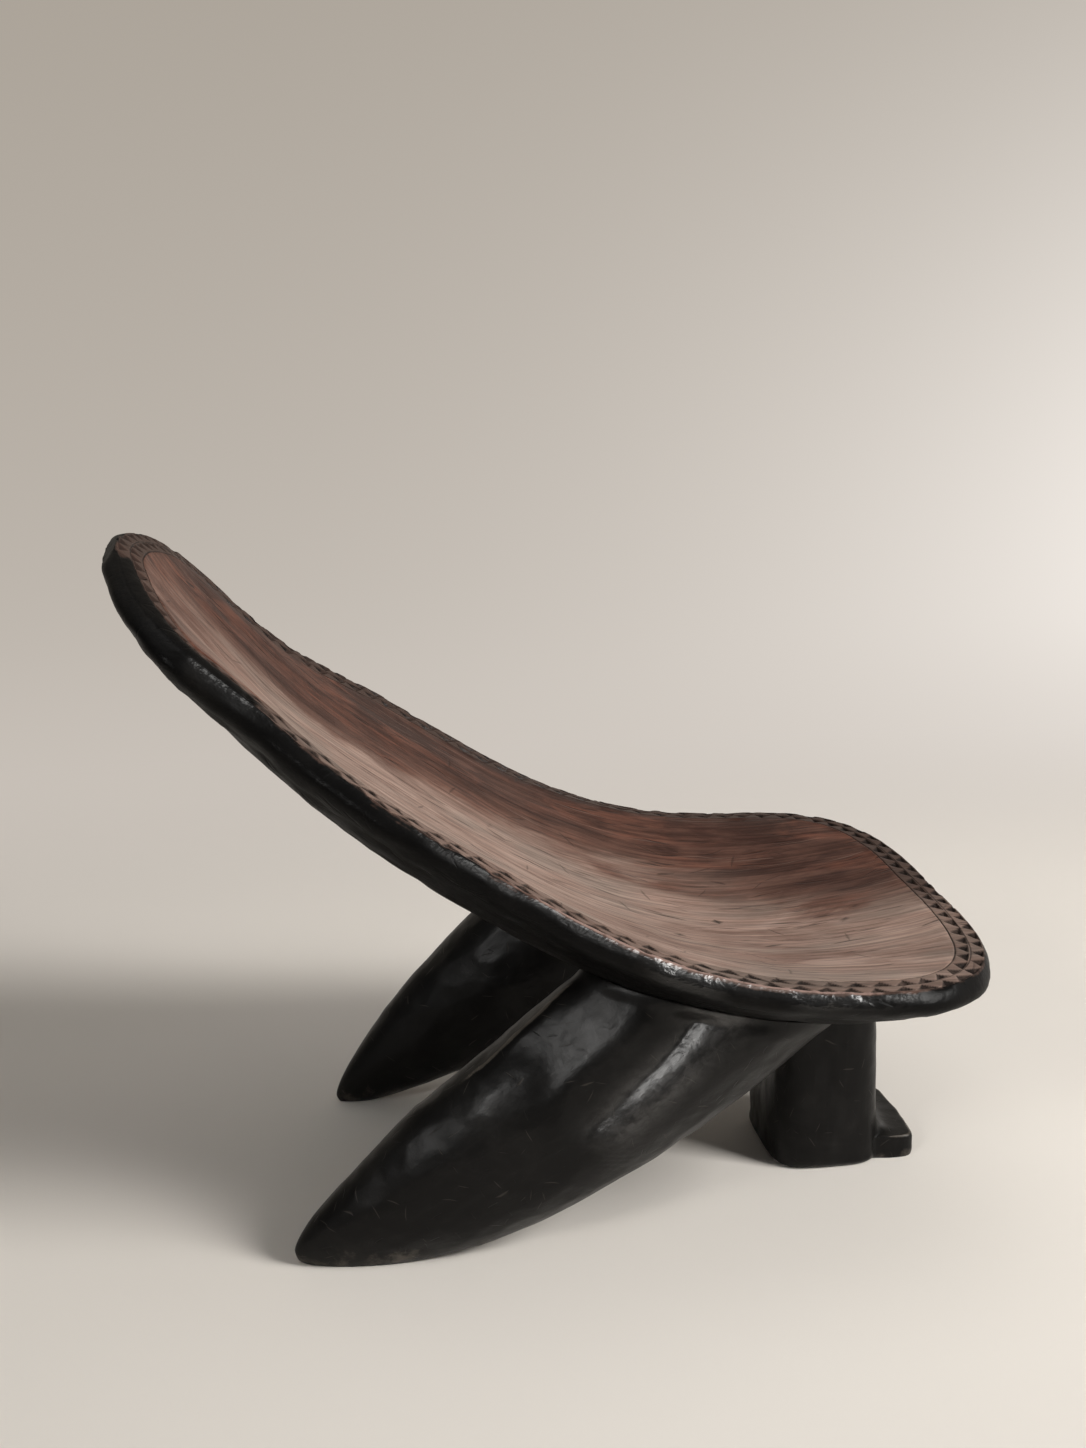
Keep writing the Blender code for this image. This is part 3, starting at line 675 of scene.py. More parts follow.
# Cut ridge: a bell on its far flank, and on its near flank a steepening drop into a valley that rises slowly again.
def ridgeLift(gap, along):
    r = rearLegs
    broad = easeStep(along, *r.broad)
    high, deep = r.ridgeHigh * (1.0 + r.highGain * broad), r.ridgeDeep * (1.0 + r.deepGain * broad)
    foot, start = (place + shift * broad for place, shift in (r.ridgeFoot, r.ridgeStart))
    flank = high - (high + deep) * np.clip((gap - start) / (foot - start), 0.0, 1.0) ** r.ridgeSteep
    flank = flank + deep * easeStep(gap, foot, foot + r.valley)
    lift = np.where(gap > start, flank, high * bell(gap - start, r.ridgeFar))
    return lift * easeStep(along, *r.ridgeFade)


# A leg's rings, closed round, made a piece with its values.
def makeLeg(name, rings, values, node):
    flat = {key: value.reshape(-1, *value.shape[2:]) for key, value in values.items()}
    quads = ringQuads(0, rings.shape[1], rings.shape[0])
    return makePiece(name, rings.reshape(-1, 3), [quads], flat, node)


# One tusk leg: the swept surface cut to the belly, dressed with blade scallops and flattened on the floor.
def makeRearLeg(name, node, line):
    r, seed = rearLegs, line.seed
    turn = np.linspace(0.0, 2 * math.pi, r.sides, endpoint=False)[None, :]
    rung = np.linspace(0.0, 1.0, r.rings)[:, None] ** r.crowd
    share = rung * meetBelly(line, turn)
    spots, outward, girth = tuskSurface(line, share, turn + 0 * share)
    fade = easeStep(girth, *r.tipFade) * easeDown(rung, *r.topFade) * easeStep(spots[..., 2], *r.floorFade)
    lifted = np.hypot(outward[..., 0], outward[..., 2]) * np.sign(outward[..., 2])
    local = beside(share * r.along, outward[..., 1], lifted)
    cut = toolMarks(local + seed, r.facets, seed) + toolMarks(local, r.marks, seed)
    polishAndSheen, bared, flat = (np.zeros(share.shape) for i in range(3))
    degrees = np.degrees(turn + 0 * share)
    for atShare, atTurn, shareSpread, turnSpread, amount in line.rubbed:
        turned = (degrees - atTurn + 180.0) % 360.0 - 180.0
        polishAndSheen = polishAndSheen + amount * bell(share - atShare, shareSpread) * bell(turned, turnSpread)
    for atShare, atTurn, facing, deep in line.get("flats", ()):
        facing = unit(np.array(facing))
        middle = tuskSurface(line, np.array([atShare]), np.radians([atTurn]))[0]
        beyond = np.sum((spots - middle) * facing, axis=-1) + deep
        beyond = (beyond + np.sqrt(beyond ** 2 + r.flatSoft)) / 2 - r.flatEdge  # a soft shoulder
        beyond = beyond * np.exp(-((share - atShare) / r.flatLength) ** 4)
        spots = spots - facing * (np.maximum(beyond, 0.0) * fade)[..., None]
        flat = np.maximum(flat, easeStep(beyond, 0.0, r.flatFull))
    cut = cut * (1.0 - r.flatCalm * flat) + flat * toolMarks(local, r.flatMarks, seed)
    if "ridge" in line:
        gap, along = besideLine(line, line.ridge, spots, outward)
        ends = easeStep(along, *r.ridgeEnds)
        glowAt, glowSpread = r.ridgeGlow
        # the ridge is polished, for a glossy coat and a painted sheen in the colour
        polishAndSheen = np.maximum(polishAndSheen, bell(gap - glowAt, glowSpread) * ends)
        calm, calmSpread = r.ridgeCalm
        cut = cut * (1.0 - calm * bell(gap, calmSpread) * ends) + ridgeLift(gap, along)
        gap, along = besideLine(line, line.crest, spots, outward)
        ends = easedLevels(along, (0.0, 1.0, 0.0), r.crestEnds)
        bared = bell(gap, r.crestLine) * ends
        cut = cut + r.crestHigh * np.exp(-np.abs(gap) / r.crestWidth) * ends
    spots = spots + unit(outward) * (cut * fade)[..., None]
    spots[..., 2] = np.maximum(spots[..., 2], 0.0)  # worn flat where it stands
    lid = beddedLid(spots[-1], r.lidRings, r.gap)
    tipRing = np.repeat(spots[:1].mean(axis=1, keepdims=True), r.sides, axis=1)
    rings = np.concatenate([tipRing, spots, lid])

    # values of the tip ring and the lid: those of the rings beside them
    def capped(value):
        return np.concatenate([value[:1], value, np.repeat(value[-1:], r.lidRings, axis=0)])

    wear = np.zeros(rings.shape[:2])
    floorWear = easeDown(spots[..., 2], *r.floorWearTo) * r.floorWear
    wear[1:r.rings + 1] = np.maximum(floorWear, bared * r.crestWear)
    flow = rings - rings.mean(axis=1, keepdims=True)
    flow[..., 0] = capped(share) * r.along
    return makeLeg(name, rings, {"wear": wear, "polishAndSheen": capped(polishAndSheen), "flow": flow}, node)


rightTusk = makeRearLeg("tuskLegRight", "rear_leg_right", rearLegs.right)
leftTusk = makeRearLeg("tuskLegLeft", "rear_leg_left", rearLegs.left)

frontLeg = Values(
    setback=0.134, halfDepth=0.062, halfWidth=0.080, waist=0.008, waistHeight=0.22, square=4.0,
    toeReach=0.039, toeHalf=0.067, toeHeight=0.026, toeSquare=8.0, footRound=0.008,
    # the toe's upright side, its lean, its rounded edge and the sweep up to the column
    toeSide=0.021, toeLean=0.012, toeEdge=(0.985, 0.10), instep=(0.004, 0.012),
    bendSteps=9, sideSteps=5, topSteps=12, shaftSteps=90, soleRings=5, lidRings=6,
    sides=200, gap=0.0003, seed=71, facetShift=5.0, farthest=0.3, halvings=30, topStart=0.25, topTries=12,
    toeAhead=0.02, toeKeeps=0.75, floorFade=(0.0, 0.012), topFade=(0.95, 0.995),
    # tool marks: depth, size, seed, and the middle level of scallops
    facets=((0.0045, (0.07, 0.08, 0.12), 0, 0.42),),
    marks=((0.0011, (0.022, 0.026, 0.04), 8, 0.42), (0.0012, 0.05, 4), (0.0004, 0.013, 5)),
    # rubbed line on the toe's edge, and what the floor has rubbed
    toeWear=(0.93, 0.06), toeWearFrom=0.015, floorWear=0.6, floorWearTo=(0.004, 0.02),
)


# Distance from the axis to a superellipse in a direction: one over the sum of the powered shares, rooted.
def superReach(turn, halfX, halfY, square):
    return (np.abs(np.cos(turn) / halfX) ** square + np.abs(np.sin(turn) / halfY) ** square) ** (-1.0 / square)


# Distance from the column's axis out to the toe slab's outline, found by halving along each direction.
def toeReachAt(turn):
    f = frontLeg
    half = (f.halfDepth + f.toeReach) / 2
    near, far = np.zeros_like(turn), np.full_like(turn, f.farthest)
    for step in range(f.halvings):
        reach = (near + far) / 2
        x, y = reach * np.cos(turn) - half, reach * np.sin(turn)
        inside = np.abs(x / half) ** f.toeSquare + np.abs(y / f.toeHalf) ** f.toeSquare < 1.0
        near, far = np.where(inside, reach, near), np.where(inside, far, reach)
    return near


# Foot profile, one row for each ring: share of the toe's extra reach, height, inset of the heel's lower edge.
def footRings():
    f = frontLeg
    low, sideTop, top = f.footRound, f.toeSide, f.toeHeight
    bend = np.linspace(0.0, math.pi / 2, f.bendSteps)
    edge, edgeIn = f.toeEdge
    heel = beside(0 * bend + 1.0, low * (1 - np.cos(bend)), low * (1 - np.sin(bend)))
    part = np.arange(1, f.sideSteps + 1) / f.sideSteps
    side = beside(1.0 - f.toeLean * part, low + (sideTop - low) * part, 0 * part)
    bend = bend[1:]
    over = beside(edge - edgeIn * (1 - np.cos(bend)), sideTop + (top - sideTop) * np.sin(bend), 0 * bend)
    part = np.arange(1, f.topSteps + 1) / f.topSteps
    rise = f.instep[0] * part ** 2 + f.instep[1] * part ** 6
    flat = beside((edge - edgeIn) * (1 - part), top + rise, 0 * part)
    return np.concatenate([heel, side, over, flat])


# Front leg as rings: sole, rounded foot with its toe slab, a hollow sweep up to the column, the column to the belly.
def makeFrontLeg():
    f = frontLeg
    turn = np.linspace(0.0, 2 * math.pi, f.sides, endpoint=False)
    middleX = seatFrontX - f.setback
    column = superReach(turn, f.halfDepth, f.halfWidth, f.square)
    extra = np.maximum(toeReachAt(turn) - column, 0.0)
    ahead = easeStep(extra, 0.0, f.toeAhead)
    foot = footRings()
    reach = column + extra * foot[:, :1] - foot[:, 2:] * (1.0 - f.toeKeeps * ahead)
    height = np.repeat(foot[:, 1:2], f.sides, axis=1)
    start = height[-1]

    # the waist: its depth, eased in over its height
    def waistAt(z):
        return f.waist * easeStep(z, 0.0, f.waistHeight)

    topZ = np.full(f.sides, f.topStart)
    for step in range(f.topTries):
        out = column - waistAt(topZ)
        topZ = bellyHeight(middleX + out * np.cos(turn), out * np.sin(turn), seatFrontX) - f.gap
    shaftZ = start + (topZ - start) * np.linspace(0.0, 1.0, f.shaftSteps)[1:, None]
    reach = np.concatenate([reach - waistAt(height), column - waistAt(shaftZ)])
    height = np.concatenate([height, shaftZ])
    spots = beside(middleX + reach * np.cos(turn), reach * np.sin(turn), height)
    fade = easeStep(height, *f.floorFade) * easeDown(height / topZ, *f.topFade)
    cut = toolMarks(spots + f.facetShift, f.facets, f.seed) + toolMarks(spots, f.marks, f.seed)
    away = beside(np.cos(turn), np.sin(turn), 0 * turn)
    spots = spots + away * (cut * fade)[..., None]
    sole = np.linspace(0.0, 1.0, f.soleRings + 1)[:-1, None, None]
    centre = np.array([middleX, 0.0, 0.0])
    bottom = centre + (spots[0] - centre) * sole
    rings = np.concatenate([bottom, spots, beddedLid(spots[-1], f.lidRings, f.gap)])
    edgeAt, edgeSpread = f.toeWear
    toeEdge = bell(foot[:, :1] - edgeAt, edgeSpread) * ahead * (foot[:, 1:2] > f.toeWearFrom)
    floorWear = f.floorWear * easeDown(foot[:, 1:2], *f.floorWearTo)
    wear = np.zeros(rings.shape[:2])
    wear[f.soleRings:f.soleRings + len(foot)] = np.maximum(toeEdge, floorWear)
    flow = beside(rings[..., 2], rings[..., 0] - middleX, rings[..., 1])
    return makeLeg("footedColumn", rings, {"wear": wear, "flow": flow}, "front_leg")


footedColumn = makeFrontLeg()


# Feeds a socket with another socket, or sets it to a plain value.
def feed(socket, value):
    if isinstance(value, bpy.types.NodeSocket):
        socket.id_data.links.new(value, socket)
    else:
        socket.default_value = value


# Feeds a node's inputs by name.
def feedNamed(node, sockets):
    for key, value in sockets.items():
        feed(node.inputs[key], value)


# Adds a node to a tree, with its own switches set and its inputs fed by name.
def put(tree, kind, settings=None, **sockets):
    node = tree.nodes.new("ShaderNode" + kind)
    for key, value in (settings or {}).items():
        setattr(node, key, value)
    feedNamed(node, sockets)
    return node


# Adds a node to the tree that the values come from, and feeds its inputs at the places given.
def apply(kind, values, settings, places=range(5)):
    tree = next(value.id_data for value in values if isinstance(value, bpy.types.NodeSocket))
    node = put(tree, kind, settings)
    for place, value in zip(places, values):
        feed(node.inputs[place], value)
    return node


# Arithmetic on one, two or three values.
def calc(operation, *values, clamp=False):
    return apply("Math", values, {"operation": operation, "use_clamp": clamp}).outputs[0]


times, plus, minus = (partial(calc, operation) for operation in ("MULTIPLY", "ADD", "SUBTRACT"))


# How far noise is from its middle, times an amount.
def swing(noise, amount):
    return times(minus(noise, 0.5), amount)


# Arithmetic on vectors; length and dot product hand back a number.
def vectorCalc(operation, *values):
    node = apply("VectorMath", values, {"operation": operation})
    return node.outputs["Value" if operation in ("LENGTH", "DOT_PRODUCT") else "Vector"]


# Blend of two colours by a factor.
def blendColour(factor, first, second, mode="MIX"):
    settings = {"data_type": "RGBA", "blend_type": mode}
    return apply("Mix", (factor, first, second), settings, (0, 6, 7)).outputs[2]


# Colours laid over a first one in turn, each by its own factor.
def layered(colour, *layers):
    for factor, over in layers:
        colour = blendColour(factor, colour, over)
    return colour


# Eased map of a value from one range to another.
def remap(value, low, high, toLow=0.0, toHigh=1.0):
    return apply("MapRange", (value, low, high, toLow, toHigh), {"interpolation_type": "SMOOTHSTEP"}).outputs[0]


# Colour ramp through the given stops.
def ramp(value, stops):
    node = put(value.id_data, "ValToRGB", Fac=value)
    points = node.color_ramp.elements
    for point, (place, colour) in zip(points, (stops[0], stops[-1])):
        point.position, point.color = place, (*colour, 1.0)
    for place, colour in stops[1:-1]:
        points.new(place).color = (*colour, 1.0)
    return node.outputs[0]


# Noise on a vector stretched by three scales.
def noiseOn(vector, scales, detail=3.0, rough=0.55, distort=0.0, shift=0.0):
    moved = (shift, shift * 0.7, shift * 1.3)
    spread = put(vector.id_data, "Mapping", Vector=vector, Scale=scales, Location=moved)
    noise = put(vector.id_data, "TexNoise", Vector=spread.outputs[0], Scale=1.0, Detail=detail,
                Roughness=rough, Distortion=distort)
    return noise.outputs[0]


# Bump from a height, as a normal.
def bumped(height, strength, distance):
    return put(height.id_data, "Bump", Height=height, Strength=strength, Distance=distance).outputs[0]


# Starts a shader group with float or vector inputs and float outputs.
def makeGroup(name, inputs, outputs):
    tree = bpy.data.node_groups.new(name, "ShaderNodeTree")
    for key, value in inputs.items():
        kind = "NodeSocketVector" if value is None else "NodeSocketFloat"
        socket = tree.interface.new_socket(name=key, in_out="INPUT", socket_type=kind)
        if value is not None:
            socket.default_value = value
    for key in outputs:
        tree.interface.new_socket(name=key, in_out="OUTPUT", socket_type="NodeSocketFloat")
    return tree, tree.nodes.new("NodeGroupInput").outputs, tree.nodes.new("NodeGroupOutput").inputs


sway = Values(scales=(3.0, 5.0, 5.0), detail=2.0, shift=2.0, amount=0.05)  # how the grain wanders sideways
# stretch, detail, roughness, distortion and shift of each noise
grainNoise = {
    "Streak": ((4.5, 60.0, 60.0), 7.0, 0.70, 0.5, 7.0),
    "Fibre": ((7.0, 190.0, 190.0), 5.0, 0.70, 0.3, 3.0),
    "Patch": ((7.0, 16.0, 16.0), 5.0, 0.62, 0.8, 11.0),
}


# Wood grain: noise drawn out along the flow, broad for streaks, fine for fibres, nearly even for patches.
def makeGrainGroup():
    tree, into, out = makeGroup("woodGrain", {"Flow": None}, grainNoise)
    bend = noiseOn(into["Flow"], sway.scales, sway.detail, shift=sway.shift)
    aside = put(tree, "CombineXYZ", Y=times(bend, sway.amount)).outputs[0]
    bent = vectorCalc("ADD", into["Flow"], aside)
    for key, settings in grainNoise.items():
        feed(out[key], noiseOn(bent, *settings))
    return tree


scratchShape = Values(warpScale=22.0, warp=(0.012, 0.012, 0.012), narrowing=(0.15, 0.5, 1.0, 0.0), leastWidth=0.0001)
wearShape = Values(detail=4.0, rough=0.65, swing=1.1, edge=(0.38, 0.72))


# Scratches: in each scattered cell a thin slice at a random slant, narrowing with distance from the cell's centre,
# kept in a share of the cells.
def makeScratchGroup():
    inputs = {"Flow": None, "Cells": None, "Slant": None, "Thin": 0.02, "Amount": 0.5}
    tree, into, out = makeGroup("handScratches", inputs, ["Scratch"])
    warp = put(tree, "TexNoise", Vector=into["Flow"], Scale=scratchShape.warpScale, Detail=1.0)
    shift = vectorCalc("MULTIPLY_ADD", warp.outputs["Color"], scratchShape.warp, into["Flow"])
    drawn = vectorCalc("MULTIPLY", shift, into["Cells"])
    cells = put(tree, "TexVoronoi", {"feature": "F1"}, Vector=drawn, Scale=1.0).outputs
    local = vectorCalc("SUBTRACT", drawn, cells["Position"])
    dice = vectorCalc("SUBTRACT", cells["Color"], (0.5, 0.5, 0.5))
    slant = vectorCalc("NORMALIZE", vectorCalc("MULTIPLY", dice, into["Slant"]))
    off = calc("ABSOLUTE", vectorCalc("DOT_PRODUCT", local, slant))
    width = times(into["Thin"], remap(vectorCalc("LENGTH", local), *scratchShape.narrowing))
    line = minus(1.0, calc("DIVIDE", off, calc("MAXIMUM", width, scratchShape.leastWidth)), clamp=True)
    chance = put(tree, "SeparateColor", Color=cells["Color"]).outputs["Blue"]
    feed(out["Scratch"], times(line, calc("LESS_THAN", chance, into["Amount"])))
    return tree


# Wear: a mask of its own plus even noise, eased to a broken edge.
def makeWearGroup():
    tree, into, out = makeGroup("brokenWear", {"Place": None, "Mask": 0.0, "Grit": 60.0}, ["Worn"])
    noise = put(tree, "TexNoise", Vector=into["Place"], Scale=into["Grit"], Detail=wearShape.detail,
                Roughness=wearShape.rough)
    feed(out["Worn"], remap(plus(into["Mask"], swing(noise.outputs[0], wearShape.swing)), *wearShape.edge))
    return tree


grainGroup, scratchGroup, wearGroup = makeGrainGroup(), makeScratchGroup(), makeWearGroup()


# Places a group in a material with its inputs fed.
def useGroup(tree, group, **sockets):
    return put(tree, "Group", {"node_tree": group}, **sockets).outputs


# Starts a material and hands back its tree, its shader and the object's own coordinates.
def startMaterial(name):
    material = bpy.data.materials.new(name)
    material.use_nodes = True
    tree = material.node_tree
    return material, tree, tree.nodes["Principled BSDF"], put(tree, "TexCoord").outputs["Object"]


# A named value of the mesh, as a number or as a vector.
def meshValue(tree, name, vector=False):
    return put(tree, "Attribute", {"attribute_name": name}).outputs["Vector" if vector else "Fac"]


# Colours of a finish with full opacity.
def opaque(colours):
    return Values({key: (*value, 1.0) for key, value in colours.items()})


seatFinish = Values(
    colours=Values(
        deep=(0.043, 0.0185, 0.0135), middle=(0.125, 0.062, 0.045), pale=(0.285, 0.188, 0.150),
        palest=(0.37, 0.265, 0.218), grey=(0.25, 0.195, 0.162), red=(0.20, 0.078, 0.050),
        lip=(0.055, 0.036, 0.029), pocket=(0.0075, 0.0052, 0.0045), rim=(0.30, 0.20, 0.17),
        black=(0.0018, 0.0016, 0.0015), dust=(0.008, 0.007, 0.006),
    ),
    browns=((0.0, "deep"), (0.38, "middle"), (0.74, "pale"), (1.0, "palest")),
    # noises: stretch, detail, roughness, distortion, shift
    mottle=((20.0, 48.0, 48.0), 4.0, 0.65, 0.5, 6.0), greying=((6.0, 14.0, 14.0), 3.0, 0.55, 0.0, 4.0),
    bloom=((8.0, 26.0, 26.0), 5.0, 0.65, 0.6, 9.0), grime=((130.0, 130.0, 130.0), 3.0, 0.6),
    dusting=((14.0, 14.0, 14.0), 5.0, 0.6, 0.5), fuzz=((150.0, 150.0, 150.0), 3.0),
    dings=((55.0, 55.0, 55.0), 4.0, 0.6, 0.4), pricks=((190.0, 190.0, 190.0), 2.0),
    crinkles=((42.0, 42.0, 80.0), 3.0, 0.5, 0.3, 5.0),
    # eased ranges: from, to, and what they become
    greyed=(0.45, 0.68, 0.0, 0.75), reddened=(0.48, 0.72, 0.0, 0.55), fibres=(0.32, 0.68, 0.62, 1.22),
    gouged=(0.42, 0.62, 0.15, 1.0), grimy=(0.3, 0.7, 0.75, 1.15), dusty=(0.48, 0.85),
    topRough=(0.3, 0.7, 0.46, 0.62), edgeRough=(0.35, 0.70, 0.44, 0.62),
    gouge=Values(Cells=(22.0, 70.0, 70.0), Slant=(0.12, 1.0, 0.02), Thin=0.18, Amount=0.65),
    thin=Values(Cells=(20.0, 30.0, 30.0), Slant=(1.0, 1.0, 0.02), Thin=0.045, Amount=0.42),
    pale=Values(Cells=(10.0, 60.0, 60.0), Slant=(0.1, 1.0, 0.02), Thin=0.05, Amount=0.35),
    # amounts
    wornTone=(0.72, 0.08), streaks=0.5, patches=1.1, mottling=0.45, lipShade=(-0.4, 0.9),
    thinDark=0.55, paleLight=0.3, scratchDark=0.9, cutDark=0.96, rimMask=0.75, rimLight=0.8,
    rimGrit=75.0, topGrit=34.0, rimSmooth=0.14, specular=0.07, coatRough=0.25,
    relief=Values(fibre=0.35, streak=0.5, scratch=0.8, fuzz=0.4, struck=0.25),
    bump=(0.55, 0.0013), coatBump=(0.7, 0.0042),  # strength, distance
)


# Seat: streaked brown on the worn top with a painted sheen paling its near side, black where hands never rubbed, dark
# in the cuts with painted shade on their facets that face away from the light, pinkish on the arris.
def makeSeatMaterial():
    f, c = seatFinish, opaque(seatFinish.colours)
    material, tree, shader, place = startMaterial("wornSeatWood")
    flow, shade, gloss = meshValue(tree, "flow", True), meshValue(tree, "shade"), meshValue(tree, "gloss")
    grain = useGroup(tree, grainGroup, Flow=flow)
    bloom, dust = noiseOn(flow, *f.bloom), noiseOn(place, *f.dusting)

    # one kind of scratch, drawn along the flow
    def scratched(key):
        return useGroup(tree, scratchGroup, Flow=flow, **f[key])["Scratch"]

    # a mask with a broken edge
    def broken(mask, grit):
        return useGroup(tree, wearGroup, Place=place, Mask=mask, Grit=grit)["Worn"]

    # worn brown, by streaks, patches and the shade value, which is partly wear and partly a painted sheen that pales
    # and greys the near side
    mottle = minus(noiseOn(flow, *f.mottle), 0.5)
    patch = calc("MULTIPLY_ADD", mottle, f.mottling, swing(grain["Patch"], f.patches))
    tone = plus(calc("MULTIPLY_ADD", shade, *f.wornTone), plus(swing(grain["Streak"], f.streaks), patch))
    brown = ramp(tone, [(stop, f.colours[key]) for stop, key in f.browns])
    greyed = times(shade, remap(noiseOn(flow, *f.greying), *f.greyed))
    reddened = times(minus(1.0, shade), remap(bloom, *f.reddened))
    brown = layered(brown, (greyed, c.grey), (reddened, c.red))
    fibre = remap(grain["Fibre"], *f.fibres)
    fibres = put(tree, "CombineColor", Red=fibre, Green=fibre, Blue=fibre).outputs[0]
    brown = blendColour(1.0, brown, fibres, "MULTIPLY")
    # scratches, border, and the cuts' stain with painted shade on their facets
    gouged = times(scratched("gouge"), remap(bloom, *f.gouged))
    scratch = calc("MAXIMUM", gouged, times(scratched("thin"), f.thinDark))
    lipShade = times(meshValue(tree, "border"), calc("MULTIPLY_ADD", shade, *f.lipShade))
    grimy = remap(noiseOn(place, *f.grime), *f.grimy)
    # the cuts' stain and painted shade, broken by grime
    stainAndShade = times(calc("MINIMUM", meshValue(tree, "cutStainAndShade"), 1.0), grimy, clamp=True)
    rim = broken(times(meshValue(tree, "rim"), f.rimMask), f.rimGrit)
    brown = layered(
        brown, (times(scratched("pale"), f.paleLight), c.palest), (times(scratch, f.scratchDark), c.pocket),
        (lipShade, c.lip), (times(stainAndShade, f.cutDark), c.pocket), (times(rim, f.rimLight), c.rim),
    )
    # black edge and underside
    black = blendColour(remap(dust, *f.dusty), c.black, c.dust)
    top = broken(meshValue(tree, "top"), f.topGrit)
    untouched = minus(1.0, top)
    rough = times(remap(grain["Patch"], *f.topRough), top)
    rough = plus(rough, times(untouched, remap(dust, *f.edgeRough)))
    relief = f.relief
    height = plus(times(grain["Fibre"], relief.fibre), times(grain["Streak"], relief.streak))
    height = minus(height, times(scratch, relief.scratch))
    height = plus(height, times(noiseOn(place, *f.fuzz), relief.fuzz))
    knocks = plus(noiseOn(place, *f.dings), noiseOn(place, *f.pricks))
    height = calc("MULTIPLY_ADD", knocks, times(untouched, plus(gloss, relief.struck)), height)
    feedNamed(shader, {
        "Base Color": blendColour(top, black, brown), "Roughness": minus(rough, times(rim, f.rimSmooth)),
        "Specular IOR Level": f.specular, "Coat Weight": gloss, "Coat Roughness": f.coatRough,
        "Coat Normal": bumped(noiseOn(place, *f.crinkles), *f.coatBump),
        "Normal": bumped(height, *f.bump),
    })
    return material


legFinish = Values(
    colours=Values(
        black=(0.0038, 0.0035, 0.0033), dust=(0.013, 0.012, 0.011), bare=(0.11, 0.095, 0.080),
        # rubbed: a grey painted sheen laid on the polished places, broken by scuffs
        rubbed=(0.085, 0.081, 0.078),
    ),
    # noises: stretch, detail, roughness, distortion, shift
    dusting=((11.0, 11.0, 11.0), 6.0, 0.62, 0.6), scuffing=((60.0, 180.0, 180.0), 5.0, 0.7, 0.6, 5.0),
    unevenness=((26.0, 26.0, 26.0), 4.0, 0.6, 0.5), pricks=((120.0, 120.0, 120.0), 4.0),
    facetScale=(26.0, 52.0, 52.0), facetSoft=0.25,
    # eased ranges: from, to, and what they become
    dusty=(0.46, 0.80), fibres=(0.5, 0.78, 0.0, 0.35), scuffed=(0.35, 0.65, 0.2, 1.0),
    uneven=(0.3, 0.7, 0.35, 1.3), rough=(0.35, 0.75, 0.36, 0.52),
    scratch=Values(Cells=(60.0, 60.0, 60.0), Slant=(1.0, 1.0, 1.0), Thin=0.035, Amount=0.45),
    hatch=Values(Cells=(75.0, 75.0, 75.0), Slant=(1.0, 0.6, 0.4), Thin=0.06, Amount=0.25),
    # amounts
    scratchPale=0.28, wearMask=0.7, wearPale=0.7, wearGrit=40.0, rubbing=0.55, leastGloss=0.03,
    scratchRough=0.1, specular=0.15, coatRough=0.29,
    relief=Values(facets=0.9, pricks=0.45, fibre=0.22, scratch=0.3, hatch=0.4),
    bump=(0.5, 0.0012), coatBump=(0.5, 0.0026),  # strength, distance
)


# Legs: burnished black with dusty patches, pale scratches and bare wood where the floor and knocks have rubbed it, and
# a grey painted sheen on the polished places.
def makeLegMaterial():
    f, c, relief = legFinish, opaque(legFinish.colours), legFinish.relief
    material, tree, shader, place = startMaterial("burnishedLegWood")
    flow, polishAndSheen = meshValue(tree, "flow", True), meshValue(tree, "polishAndSheen")
    fibre = useGroup(tree, grainGroup, Flow=flow)["Fibre"]
    scratch, hatch = (
        useGroup(tree, scratchGroup, Flow=place, **f[key])["Scratch"] for key in ("scratch", "hatch")
    )
    dust = noiseOn(place, *f.dusting)
    mask = times(meshValue(tree, "wear"), f.wearMask)
    worn = useGroup(tree, wearGroup, Place=place, Mask=mask, Grit=f.wearGrit)["Worn"]
    # grey painted sheen, broken by scuffs, where the legs are polished
    scuffAndSheen = times(times(polishAndSheen, f.rubbing), remap(noiseOn(flow, *f.scuffing), *f.scuffed), clamp=True)
    colour = layered(
        c.black, (remap(dust, *f.dusty), c.dust), (remap(fibre, *f.fibres), c.dust),
        (times(scratch, f.scratchPale), c.bare), (times(worn, f.wearPale), c.bare), (scuffAndSheen, c.rubbed),
    )
    uneven = remap(noiseOn(place, *f.unevenness), *f.uneven)
    stretched = put(tree, "Mapping", Vector=flow, Scale=f.facetScale).outputs[0]
    facets = put(tree, "TexVoronoi", {"feature": "SMOOTH_F1"}, Vector=stretched, Scale=1.0, Smoothness=f.facetSoft)
    pricks = times(noiseOn(place, *f.pricks), relief.pricks)
    knocks = calc("MULTIPLY_ADD", facets.outputs["Distance"], relief.facets, pricks)
    height = calc("MULTIPLY_ADD", fibre, relief.fibre, knocks)
    height = minus(minus(height, times(scratch, relief.scratch)), times(hatch, relief.hatch))
    feedNamed(shader, {
        "Base Color": colour, "Roughness": plus(remap(dust, *f.rough), times(scratch, f.scratchRough)),
        "Specular IOR Level": f.specular, "Coat Roughness": f.coatRough,
        "Coat Weight": calc("MULTIPLY_ADD", polishAndSheen, uneven, f.leastGloss, clamp=True),
        "Coat Normal": bumped(knocks, *f.coatBump), "Normal": bumped(height, *f.bump),
    })
    return material


tenonFinish = Values(
    grain=((300.0, 300.0, 18.0), 4.0, 0.6), browns=((0.3, (0.30, 0.19, 0.10)), (0.7, (0.50, 0.36, 0.22))),
    rough=(0.3, 0.7, 0.55, 0.7), bump=(0.3, 0.0004),
)


